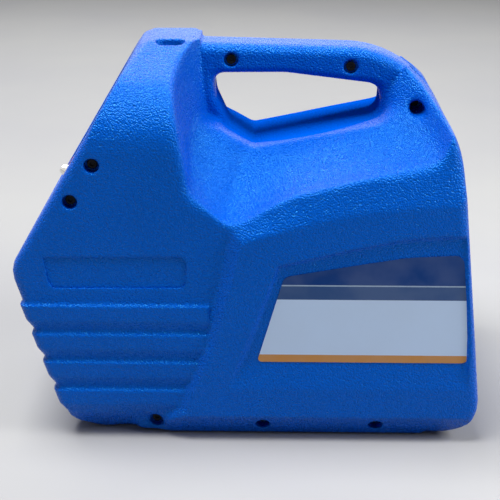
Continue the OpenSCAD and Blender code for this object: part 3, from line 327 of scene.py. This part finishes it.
def roundEdges(bm, edges, width, segments, clamp=False):
    bmesh.ops.bevel(bm, geom=edges, offset=width, offset_type="OFFSET", affect="EDGES", segments=segments,
                    profile=0.5, material=-1, clamp_overlap=clamp)


def bevelEdges(bm, width, segments=2, angle=radians(30)):
    edges = [e for e in bm.edges if e.is_manifold and e.calc_face_angle(0) > angle]
    roundEdges(bm, edges, width, segments, True)


def turned(profile, steps=64):
    # spins (radius, height) points about Z into a closed form
    bm = bmesh.new()
    verts = [bm.verts.new((r, 0.0, z)) for r, z in profile]
    edges = [bm.edges.new(pair) for pair in zip(verts, verts[1:])]
    bmesh.ops.spin(bm, geom=verts + edges, cent=(0, 0, 0), axis=(0, 0, 1), angle=2 * pi, steps=steps,
                   use_merge=True)
    bmesh.ops.remove_doubles(bm, verts=bm.verts, dist=1e-6)
    bmesh.ops.recalc_face_normals(bm, faces=bm.faces)
    return bm


def cylinderForm(radius, depth, segments):
    bm = bmesh.new()
    bmesh.ops.create_cone(bm, cap_ends=True, segments=segments, radius1=radius, radius2=radius, depth=depth)
    return bm


def boxForm(low, high):
    bm = bmesh.new()
    bmesh.ops.create_cube(bm, size=1.0)
    bmesh.ops.scale(bm, vec=Vector(high) - Vector(low), verts=bm.verts)
    bmesh.ops.translate(bm, vec=(Vector(low) + Vector(high)) / 2, verts=bm.verts)
    return bm


def letters(text, size, depth):
    # generic figures, flat on the XY plane and centred
    curve = bpy.data.curves.new("figures", "FONT")
    curve.body = text
    curve.size = size
    curve.extrude = depth
    curve.align_x = "CENTER"
    curve.align_y = "CENTER"
    curve.resolution_u = 3
    obj = bpy.data.objects.new("figures", curve)
    bpy.context.scene.collection.objects.link(obj)
    bpy.context.view_layer.update()
    return applied(obj)


def islands(name):
    # boxes of the separate solids of a CAD node
    bm = mergedCopy(name)
    left = set(bm.verts)
    boxes = []
    while left:
        queue = [left.pop()]
        group = list(queue)
        while queue:
            for edge in queue.pop().link_edges:
                for vert in edge.verts:
                    if vert in left:
                        left.remove(vert)
                        queue.append(vert)
                        group.append(vert)
        boxes.append([[pick(v.co[i] for v in group) for i in range(3)] for pick in (min, max)])
    bm.free()
    return boxes


def dress(names, finish, width=0.0003, segments=2):
    # a CAD node keeps its shape: doubled points are welded, edges broken, the finish set
    for name in names:
        obj = nodes[name]
        obj.data.materials.clear()
        obj.data.materials.append(finishes[finish])
        weld = obj.modifiers.new("weld", "WELD")
        weld.merge_threshold = 0.00001
        if width:
            edge = obj.modifiers.new("edge", "BEVEL")
            edge.width = width
            edge.segments = segments
            edge.limit_method = "ANGLE"
            edge.angle_limit = radians(35)


# frame of the sloping panel: X up the slope, Z out of it

outward = Vector(joints["inlet_valve_turn"]["axis"]).normalized()
upSlope = Vector((0, 1, 0)).cross(outward).normalized()
upright = Matrix.Rotation(-pi / 2, 4, "Z")


def onPanel(point, lift=0.0):
    matrix = Matrix((upSlope, Vector((0, 1, 0)), outward)).transposed().to_4x4()
    matrix.translation = Vector(point) + outward * lift
    return matrix


def heightOf(point):
    # how far a point lies out along the panel's normal
    return outward.dot(Vector(point))


def spread(name, matrix):
    # low and high corner of a CAD node's points in the frame of matrix
    back = matrix.inverted()
    points = [back @ vert.co for vert in nodes[name].data.vertices]
    return [Vector([pick(p[i] for p in points) for i in range(3)]) for pick in (min, max)]


# moulded case

case = dict(voxel=0.0012, ease=0.5, easeSteps=5, softSteps=150, softLevels=12, partingY=-0.012, parted=0.00015,
            push=0.0002, gap=0.00012, triangles=190000)
screw = dict(height=0.003, socket=0.48, socketDepth=0.0017, round=0.0005, rim=32, shank=0.47)
sink = dict(radius=0.00625, depth=0.14, segments=40)
badge = dict(floor=0.0085, near=0.0001, front=-0.04, low=0.12, high=0.19, reach=0.02)
slot = dict(length=0.025, width=0.013, height=0.03, corner=0.49, lift=0.0085)

# bends that are drawn softer: how much, how far off the middle, and between which lengths and heights
softZones = [
    dict(weight=1.0, off=(0.021, 0.028), fromX=(-0.104, -0.084), toX=(-0.046, -0.030), fromZ=(0.183, 0.20),
         toZ=(0.322, 0.333)),
    dict(weight=1.0, off=(0.021, 0.028), fromX=(0.098, 0.122), fromZ=(0.225, 0.245)),
    dict(weight=0.22, off=(0.024, 0.034), fromX=(-0.06, -0.03), toX=(0.15, 0.175), fromZ=(0.185, 0.20)),
    dict(weight=1.0, off=(0.088, 0.096), fromX=(-0.13, -0.11), toX=(-0.085, -0.07), toZ=(0.026, 0.038)),
]


def rise(value, start, end):
    # eased step from 0 at start to 1 at end
    t = min(1.0, max(0.0, (value - start) / (end - start)))
    return t * t * (3 - 2 * t)


def softness(point):
    best = 0.0
    for zone in softZones:
        value = zone["weight"] * rise(abs(point.y), *zone["off"])
        for axis, along in (("X", point.x), ("Z", point.z)):
            if value and "from" + axis in zone:
                value *= rise(along, *zone["from" + axis])
            if value and "to" + axis in zone:
                value *= 1 - rise(along, *zone["to" + axis])
        best = max(best, value)
    return best


def weigh(obj, group, weightOf, levels):
    # weights go on in a few levels, because one call for each point is slow
    sets = [[] for level in range(levels + 1)]
    for vert in obj.data.vertices:
        sets[round(weightOf(vert.co) * levels)].append(vert.index)
    soft = obj.vertex_groups.new(name=group)
    for level in range(1, levels + 1):
        soft.add(sets[level], level / levels, "REPLACE")


def badgeCutter(side):
    # the badge recess drawn again over its floor, which is the lowest flat of the cheek
    shell = nodes["near_shell" if side < 0 else "far_shell"].data
    low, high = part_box("near_shell" if side < 0 else "far_shell")
    reach = abs(low[1] if side < 0 else high[1])
    floor = [v.co for v in shell.vertices if v.co.x < badge["front"] and badge["low"] < v.co.z < badge["high"]
             and abs(v.co.y * side - reach + badge["floor"]) < badge["near"]]
    part = bmesh.new()
    for y in (floor[0].y, floor[0].y + side * badge["reach"]):
        for point in floor:
            part.verts.new((point.x, y, point.z))
    bmesh.ops.convex_hull(part, input=part.verts)
    bmesh.ops.delete(part, geom=[v for v in part.verts if not v.link_faces], context="VERTS")
    return part


def slotCutter():
    part = boxForm((-slot["length"] / 2, -slot["width"] / 2, -slot["height"] / 2),
                   (slot["length"] / 2, slot["width"] / 2, slot["height"] / 2))
    corners = [e for e in part.edges if abs(e.verts[0].co.z - e.verts[1].co.z) > slot["height"] / 2]
    roundEdges(part, corners, slot["width"] * slot["corner"], 8)
    return part


def cutters():
    # clean screw recesses, badge recesses and strap slots, which the easing has blurred
    bm = bmesh.new()
    for low, high in islands("case_screws"):
        x, z = (low[0] + high[0]) / 2, (low[2] + high[2]) / 2
        side = -1 if low[1] + high[1] < 0 else 1
        seat = (low[1] if side < 0 else high[1]) - side * screw["height"]
        place = Matrix.Translation((x, seat + side * sink["depth"] / 2, z)) @ Matrix.Rotation(pi / 2, 4, "X")
        join(bm, cylinderForm(sink["radius"], sink["depth"], sink["segments"]), place)
    for side in (-1, 1):
        join(bm, badgeCutter(side))
    for name in ("front_strap_bar", "rear_strap_bar"):
        along = Vector(mounts[name]["axis"])
        up = along.cross(Vector((0, 1, 0)))
        if up.z < 0:
            up.negate()
        turn = Matrix((along, up.cross(along), up)).transposed().to_4x4()
        turn.translation = Vector(mounts[name]["pos_m"]) + up * slot["lift"]
        join(bm, slotCutter(), turn)
    bmesh.ops.recalc_face_normals(bm, faces=bm.faces)
    return bm


def smoothBy(obj, name, steps, group=""):
    modifier = obj.modifiers.new(name, "SMOOTH")
    modifier.factor = case["ease"]
    modifier.iterations = steps
    modifier.vertex_group = group


def combine(obj, name, operation, other):
    modifier = obj.modifiers.new(name, "BOOLEAN")
    modifier.operation = operation
    modifier.solver = "MANIFOLD"
    modifier.object = other


def roundedCase():
    # both halves as one skin, remeshed and eased so that every moulded edge is round
    halves = []
    for name, push in (("near_shell", case["push"]), ("far_shell", -case["push"])):
        bm = mergedCopy(name)
        for vert in bm.verts:
            if abs(vert.co.y - case["partingY"]) < case["parted"]:
                vert.co.y = case["partingY"] + push
        halves.append(loose(bm, name + "Copy"))
    combine(halves[0], "union", "UNION", halves[1])
    remesh = halves[0].modifiers.new("skin", "REMESH")
    remesh.mode = "VOXEL"
    remesh.voxel_size = case["voxel"]
    skin = loose(applied(halves[0]), "caseSkin")
    bpy.data.objects.remove(halves[1])
    weigh(skin, "soft", softness, case["softLevels"])
    smoothBy(skin, "soften", case["softSteps"], "soft")
    smoothBy(skin, "ease", case["easeSteps"])
    tool = loose(cutters(), "caseCutters")
    combine(skin, "cut", "DIFFERENCE", tool)
    bm = applied(skin)
    bpy.data.objects.remove(tool)
    return bm


def halfCase(skin, name, side):
    # cuts the skin along the parting plane and closes the wall's edge
    bm = skin.copy()
    plane = (0, case["partingY"] + side * case["gap"], 0)
    bmesh.ops.bisect_plane(bm, geom=bm.verts[:] + bm.edges[:] + bm.faces[:], dist=1e-6, plane_co=plane,
                           plane_no=(0, side, 0), clear_inner=True)
    rim = [edge for edge in bm.edges if edge.is_boundary]
    bmesh.ops.triangle_fill(bm, edges=rim, use_beauty=True, normal=(0, -side, 0))
    obj = loose(bm, name + "Cut")
    thin = obj.modifiers.new("thin", "DECIMATE")
    thin.ratio = min(1.0, case["triangles"] / sum(len(face.vertices) - 2 for face in obj.data.polygons))
    bm = applied(obj)
    print(name, len(bm.faces), "faces")
    return newPiece(name, bm, "caseBlue", "case", ["near_shell" if side < 0 else "far_shell"],
                    radians(60))


skin = roundedCase()
print("case skin:", len(skin.faces), "faces")
halfCase(skin, "caseHalfNear", -1)
halfCase(skin, "caseHalfFar", 1)
skin.free()


# case screws

def moveNew(bm, made, lift):
    bmesh.ops.translate(bm, vec=(0, 0, lift), verts=[v for v in made if isinstance(v, bmesh.types.BMVert)])


def screwHead(radius, height):
    # button head with a hexagon socket, its axis on Z and its seat at 0
    bm = bmesh.new()
    outer = bmesh.ops.create_circle(bm, segments=screw["rim"], radius=radius)["verts"]
    inner = bmesh.ops.create_circle(bm, segments=6, radius=radius * screw["socket"])["verts"]
    bmesh.ops.bridge_loops(bm, edges=bm.edges[:])
    bmesh.ops.translate(bm, vec=(0, 0, height), verts=bm.verts)
    rimEdges = [e for e in bm.edges if e.is_boundary and all(v in outer for v in e.verts)]
    holeEdges = [e for e in bm.edges if e.is_boundary and all(v in inner for v in e.verts)]
    moveNew(bm, bmesh.ops.extrude_edge_only(bm, edges=rimEdges)["geom"], -height)
    moveNew(bm, bmesh.ops.extrude_edge_only(bm, edges=holeEdges)["geom"], -screw["socketDepth"])
    bmesh.ops.holes_fill(bm, edges=[e for e in bm.edges if e.is_boundary], sides=64)
    bmesh.ops.recalc_face_normals(bm, faces=bm.faces)
    crown = [e for e in bm.edges if e.calc_face_angle(0) > radians(60)
             and all(abs(v.co.z - height) < 1e-6 for v in e.verts)]
    roundEdges(bm, crown, screw["round"], 3)
    return bm


screws = bmesh.new()
for low, high in islands("case_screws"):
    x, y, z = [(a + b) / 2 for a, b in zip(low, high)]
    side = -1 if y < 0 else 1
    radius = (high[0] - low[0]) / 2
    seat, end = (low[1], high[1]) if side < 0 else (high[1], low[1])
    seat -= side * screw["height"]
    join(screws, screwHead(radius, screw["height"]),
         Matrix.Translation((x, seat, z)) @ Matrix.Rotation(-side * pi / 2, 4, "X"))
    join(screws, cylinderForm(radius * screw["shank"], abs(end - seat), 16),
         Matrix.Translation((x, (end + seat) / 2, z)) @ Matrix.Rotation(pi / 2, 4, "X"))
newPiece("caseScrews", screws, "screwBlack", "case", ["case_screws"])
print("case and screws done")


# CAD nodes that keep their shape: label, strap bars, feet, vents and the panel's pieces

dress(["label_plate"], "label", 0.0002, 2)
dress(["front_strap_bar", "rear_strap_bar"], "platedSteel", 0)
dress(["rubber_feet"], "rubber", 0.0012, 3)
dress(["front_grille", "rear_grille", "mains_inlet"], "grilleBlack", 0.0004, 2)
dress(["front_panel", "switch_frame", "reset_housing"], "panelBlack", 0.0004, 2)
dress(["panel_screws"], "platedSteel", 0.0003, 2)
dress(["inlet_gauge", "outlet_gauge"], "bezelBlack", 0.0003, 2)
dress(["gauge_dials"], "dialFace", 0.0001, 1)
dress(["inlet_needle", "outlet_needle"], "knobRed", 0.0001, 1)
dress(["gauge_lenses"], "lens", 0.0003, 2)
dress(["inlet_knob"], "knobBlue", 0.0007, 3)
dress(["outlet_knob"], "knobRed", 0.0007, 3)
dress(["selector_knob"], "knobBlack", 0.0007, 3)
dress(["power_rocker"], "knobRed", 0.0005, 3)
dress(["reset_button"], "knobRed", 0.0006, 3)
dress(["inlet_stem", "outlet_stem", "selector_stem"], "platedSteel", 0.0003, 2)


# scale round each knob

marks = dict(width=0.0005, height=0.00012, gap=0.0012, long=0.0034, short=0.0024, frameLip=0.002)
plateTop = spread("switch_frame", onPanel((0, 0, 0)))[1].z - marks["frameLip"]


def tick(target, angle, inner, outer, width, height, material=0):
    # short bar on the XY plane that points away from the middle
    bar = boxForm((inner, -width / 2, -height), (outer, width / 2, height))
    join(target, bar, Matrix.Rotation(angle, 4, "Z"), material)


def arc(target, start, end, inner, outer, height, steps, material):
    # flat ring sector
    bm = bmesh.new()
    corners = ((inner, -height), (outer, -height), (outer, height), (inner, height))
    edge = [bm.verts.new((r, 0.0, z)) for r, z in corners]
    loop = [bm.edges.new((edge[i], edge[(i + 1) % 4])) for i in range(4)]
    bm.faces.new(edge)
    bmesh.ops.rotate(bm, verts=bm.verts, cent=(0, 0, 0), matrix=Matrix.Rotation(start, 3, "Z"))
    bmesh.ops.spin(bm, geom=bm.verts[:] + loop, cent=(0, 0, 0), axis=(0, 0, 1), angle=end - start, steps=steps)
    bmesh.ops.holes_fill(bm, edges=[e for e in bm.edges if e.is_boundary], sides=4)
    bmesh.ops.recalc_face_normals(bm, faces=bm.faces)
    join(target, bm, None, material)


prints = bmesh.new()
for joint, node, ticks in (("inlet_valve_turn", "inlet_knob", 7), ("outlet_valve_turn", "outlet_knob", 7),
                           ("selector_turn", "selector_knob", 3)):
    pos = joints[joint]["pos_m"]
    sweep = radians(joints[joint]["range_deg"][1])
    place = onPanel(pos, plateTop - heightOf(pos))
    low, high = spread(node, place)
    reach = max(high.y, -low.y)
    ring = bmesh.new()
    for i in range(ticks):
        length = marks["long" if i in (0, ticks - 1) else "short"]
        tick(ring, sweep * i / (ticks - 1), reach + marks["gap"], reach + length, marks["width"],
             marks["height"])
    join(prints, ring, place)
newPiece("panelPrint", prints, "printWhite", "case", (), None)
print("panel done")


# gauge dials

dial = dict(outer=0.0192, major=0.0034, minor=0.0019, width=0.00042, bold=1.6, height=0.00005, figure=0.0032,
            figureRing=0.0128, gap=0.0002, band=0.0012, arcSteps=32)
dialTop = spread("gauge_dials", onPanel((0, 0, 0)))[1].z


def dialPrint(name, joint, figures, zones):
    # scale of one gauge, along the needle's sweep
    pos = joints[joint]["pos_m"]
    place = onPanel(pos, dialTop - heightOf(pos) + dial["height"])
    sweep = radians(joints[joint]["range_deg"][1])
    if Vector(joints[joint]["axis"]).dot(outward) < 0:
        sweep = -sweep
    bm = bmesh.new()
    steps = 5 * (len(figures) - 1)
    for i in range(steps + 1):
        depth, width = (dial["minor"], 1) if i % 5 else (dial["major"], dial["bold"])
        tick(bm, sweep * i / steps, dial["outer"] - depth, dial["outer"], dial["width"] * width, dial["height"])
    for i, figure in enumerate(figures):
        angle = sweep * i / (len(figures) - 1)
        spot = Matrix.Translation((dial["figureRing"] * cos(angle), dial["figureRing"] * sin(angle), 0))
        join(bm, letters(figure, dial["figure"], dial["height"]), spot @ upright)
    inner = dial["outer"] + dial["gap"]
    for start, end, material in zones:
        first, last = sorted((sweep * start, sweep * end))
        arc(bm, first, last, inner, inner + dial["band"], dial["height"], dial["arcSteps"], material)
    bmesh.ops.transform(bm, matrix=place, verts=bm.verts)
    newPiece(name, bm, ["dialInk", "dialGreen", "knobRed", "dialBlue"], "case", (), None)


dialPrint("inletDialPrint", "inlet_pointer_turn", ["0", "50", "100", "150", "200", "250"],
          ((0.0, 0.55, 3), (0.55, 0.8, 1), (0.8, 1.0, 2)))
dialPrint("outletDialPrint", "outlet_pointer_turn", ["0", "100", "200", "300", "400", "500"],
          ((0.0, 0.7, 1), (0.7, 1.0, 2)))
print("dials done")


# flare ports

port = dict(core=0.00505, crest=0.00555, crestHalf=0.00012, root=0.0003, flank=0.46, pitch=0.00127,
            threadSteps=28, tip=0.0034, cone=0.004, bore=0.0024, collar=0.003, flat=0.0085, hexLow=0.008,
            hexRound=0.0007, spigot=0.006, lap=0.001, runIn=0.0009, runOut=0.0007)


def threadForm(low, high):
    # one helical ridge from low to high, its root sunk in the core
    turns = (high - low) / port["pitch"]
    steps = round(turns * port["threadSteps"])
    root, half, crest = port["core"] - port["root"], port["pitch"] * port["flank"], port["crestHalf"]
    corners = ((root, -half), (port["crest"], -crest), (port["crest"], crest), (root, half))
    bm = bmesh.new()
    points = [bm.verts.new((r, 0.0, low + z)) for r, z in corners]
    loop = [bm.edges.new((points[i], points[(i + 1) % 4])) for i in range(4)]
    bmesh.ops.spin(bm, geom=points + loop, cent=(0, 0, 0), axis=(0, 0, 1), angle=2 * pi * turns, steps=steps,
                   dvec=(0, 0, (high - low) / steps))
    bmesh.ops.holes_fill(bm, edges=[e for e in bm.edges if e.is_boundary], sides=4)
    bmesh.ops.recalc_face_normals(bm, faces=bm.faces)
    return bm


def flarePort(target, mount):
    # measured down from the tip, which lies a cone past the end of the thread
    length = mounts[mount]["dims"]["length_mm"] / 1000
    tip = Vector(mounts[mount]["pos_m"]) + outward * (length / 2 + port["cone"])
    place = onPanel(tip)
    base = spread("flare_ports", place)[0].z
    hexTop = plateTop - heightOf(tip) + port["collar"]
    hexLow = base + port["hexLow"]
    bore, core, foot = port["bore"], port["core"], hexTop - port["lap"]
    join(target, turned([(bore, foot), (core, foot), (core, -port["cone"]), (port["tip"], 0.0), (bore, 0.0),
                         (bore, foot)]), place)
    join(target, threadForm(hexTop + port["runIn"], -port["cone"] - port["runOut"]), place)
    nut = cylinderForm(port["flat"] / cos(pi / 6), hexTop - hexLow, 6)
    bmesh.ops.translate(nut, vec=(0, 0, (hexTop + hexLow) / 2), verts=nut.verts)
    bevelEdges(nut, port["hexRound"], 3)
    join(target, nut, place)
    shoulder = hexLow + port["lap"]
    join(target, turned([(0.0, base), (port["spigot"], base), (port["spigot"], shoulder), (0.0, shoulder)]),
         place)


ports = bmesh.new()
flarePort(ports, "inlet_port")
flarePort(ports, "outlet_port")
newPiece("flarePorts", ports, "nickel", "case", ["flare_ports"], radians(32))
print("ports done")


# marks on knobs and rocker

mark = dict(start=0.32, end=0.64, half=0.0006, sunk=0.00012, proud=0.00006)
rocker = dict(tilt=-8.0, half=0.0124, edge=0.0026, middle=0.0012, figureAt=0.55, figure=0.0058,
              figureDepth=0.00006)


def knobMark(name, node, joint, body):
    # painted line along the pointer ridge
    place = onPanel(joints[joint]["pos_m"])
    top = spread(node, place)[1]
    bar = boxForm((top.x * mark["start"], -mark["half"], top.z - mark["sunk"]),
                  (top.x * mark["end"], mark["half"], top.z + mark["proud"]))
    bmesh.ops.transform(bar, matrix=place, verts=bar.verts)
    newPiece(name, bar, "printWhite", body, (), None)


knobMark("inletKnobMark", "inlet_knob", "inlet_valve_turn", "inlet_valve")
knobMark("outletKnobMark", "outlet_knob", "outlet_valve_turn", "outlet_valve")
knobMark("selectorKnobMark", "selector_knob", "selector_turn", "selector_valve")

rockerPrint = bmesh.new()
fall = rocker["edge"] - rocker["middle"]
slope = atan2(fall, rocker["half"])
for side, figure in ((-1, "I"), (1, "O")):
    spot = Matrix.Translation((0, side * rocker["half"] * rocker["figureAt"],
                               rocker["middle"] + fall * rocker["figureAt"]))
    tilt = Matrix.Rotation(radians(rocker["tilt"]), 4, "X") @ spot @ Matrix.Rotation(side * slope, 4, "X")
    join(rockerPrint, letters(figure, rocker["figure"], rocker["figureDepth"]),
         onPanel(joints["rocker_tilt"]["pos_m"]) @ tilt @ upright)
newPiece("rockerPrint", rockerPrint, "printWhite", "rocker", (), None)
print("marks done")


# inside

inside = {
    "zincSheet": ["chassis_tray", "motor_cradle", "capacitor_clamp"],
    "grilleBlack": ["fan_shroud", "cooling_fan", "pressure_switch"],
    "alloy": ["manifold", "cylinder_head", "condenser_fins"],
    "castAlloy": ["crankcase", "crankcase_cover", "cylinder_block"],
    "motorPaint": ["motor_frame", "front_bell", "rear_bell"],
    "brushedSteel": ["rotor", "motor_shaft", "shaft_bearings", "stator"],
    "copper": ["condenser_tube", "suction_tube", "discharge_tube", "return_tube"],
    "canAlloy": ["capacitor"],
}
for finish, names in inside.items():
    dress(names, finish, 0 if finish in ("copper", "alloy") else 0.0003, 2)

coil = dict(reach=0.009, gap=0.004, wave=0.14, lobes=6, steps=10, sides=96)


def coilHeads():
    # wound ends that stand out of the stator core at both sides
    low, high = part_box("stator")
    rotorLow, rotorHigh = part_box("rotor")
    centre = [(a + b) / 2 for a, b in zip(low, high)]
    outer = (high[2] - low[2]) / 2 - coil["gap"]
    inner = (rotorHigh[2] - rotorLow[2]) / 2 + coil["gap"]
    middle, half = (outer + inner) / 2, (outer - inner) / 2
    turns = [pi * i / coil["steps"] for i in range(coil["steps"] + 1)]
    profile = [(middle + half * cos(t), coil["reach"] * max(0.0, sin(t))) for t in turns]
    bm = bmesh.new()
    for end, side in ((low[0], -1), (high[0], 1)):
        ring = turned(profile + [profile[0]], coil["sides"])
        for vert in ring.verts:
            lobe = abs(cos(atan2(vert.co.y, vert.co.x) * coil["lobes"]))
            vert.co.z *= 1 - coil["wave"] + coil["wave"] * lobe
        join(bm, ring, Matrix.Translation((end, centre[1], centre[2])) @ Matrix.Rotation(side * pi / 2, 4, "Y"))
    return bm


newPiece("coilHeads", coilHeads(), "winding", "case", ())
print("inside done")


# floor, lights and camera

floorPaper = dict(size=4.0, roughness=0.9, patch=3.0, pale=(0.38, 0.38, 0.38), dark=(0.36, 0.36, 0.37))
light = dict(world=0.06, worldColor=(0.95, 0.97, 1.0, 1.0), seen=(0.86, 0.86, 0.86, 1.0))
view = dict(azimuth=1.0, elevation=21.0, distance=1.03, height=0.165, sensor=36, lens=79.585, shiftX=-0.00306,
            shiftY=-0.06266)

# name, place, aim, size, power
lamps = (("keyLight", (-0.6, -0.1, 2.5), (0, 0, 0.15), (1.4, 1.2), 104.0),
         ("fillLight", (-1.3, -1.0, 0.9), (0, 0, 0.15), (0.9, 0.9), 0.35),
         ("rimLight", (1.3, -0.3, 0.95), (0, 0, 0.2), (0.7, 0.7), 21.0),
         ("backLight", (0.1, 1.7, 1.1), (0, 0.3, 0.1), (2.2, 0.9), 12.0))


def areaLight(name, place, aim, size, power):
    data = bpy.data.lights.new(name, "AREA")
    data.shape = "RECTANGLE"
    data.size, data.size_y = size
    data.energy = power
    obj = bpy.data.objects.new(name, data)
    bpy.context.scene.collection.objects.link(obj)
    obj.location = place
    obj.rotation_euler = (Vector(aim) - Vector(place)).to_track_quat("-Z", "Y").to_euler()


def buildStage():
    bm = bmesh.new()
    bmesh.ops.create_grid(bm, x_segments=8, y_segments=8, size=floorPaper["size"])
    floor = loose(bm, "floor")
    material, tree, shader, coords = startMaterial("floorPaper", floorPaper["roughness"])
    mottle(tree, shader, coords, floorPaper["patch"], floorPaper["pale"], floorPaper["dark"])
    floor.data.materials.append(material)


def buildWorld():
    # a plain pale background, and a dim even light from it
    world = bpy.data.worlds.new("studio")
    bpy.context.scene.world = world
    world.use_nodes = True
    tree = world.node_tree
    background = tree.nodes["Background"]
    background.inputs["Strength"].default_value = light["world"]
    background.inputs["Color"].default_value = light["worldColor"]
    seen = tree.nodes.new("ShaderNodeBackground")
    seen.inputs["Color"].default_value = light["seen"]
    rays = tree.nodes.new("ShaderNodeLightPath")
    mix = tree.nodes.new("ShaderNodeMixShader")
    shown = rays.outputs["Is Camera Ray"]
    for name in ("Is Glossy Ray", "Is Transmission Ray"):
        shown = compute(tree, "MAXIMUM", shown, rays.outputs[name])
    link(tree, shown, mix.inputs["Fac"])
    link(tree, background.outputs[0], mix.inputs[1])
    link(tree, seen.outputs[0], mix.inputs[2])
    link(tree, mix.outputs[0], tree.nodes["World Output"].inputs["Surface"])


def buildCamera():
    data = bpy.data.cameras.new("camera")
    camera = bpy.data.objects.new("camera", data)
    bpy.context.scene.collection.objects.link(camera)
    a, e = radians(view["azimuth"]), radians(view["elevation"])
    forward = Vector((-sin(a) * cos(e), cos(a) * cos(e), -sin(e)))
    right = Vector((cos(a), sin(a), 0))
    up = right.cross(forward)
    matrix = Matrix((right, up, -forward)).transposed().to_4x4()
    matrix.translation = Vector((0, 0, view["height"])) - forward * view["distance"]
    camera.matrix_world = matrix
    data.sensor_width = view["sensor"]
    data.lens = view["lens"]
    data.shift_x = view["shiftX"]
    data.shift_y = view["shiftY"]
    bpy.context.scene.camera = camera


buildStage()
buildWorld()
for lamp in lamps:
    areaLight(*lamp)
buildCamera()
bpy.context.scene.view_settings.view_transform = "Standard"
print("stage ready")
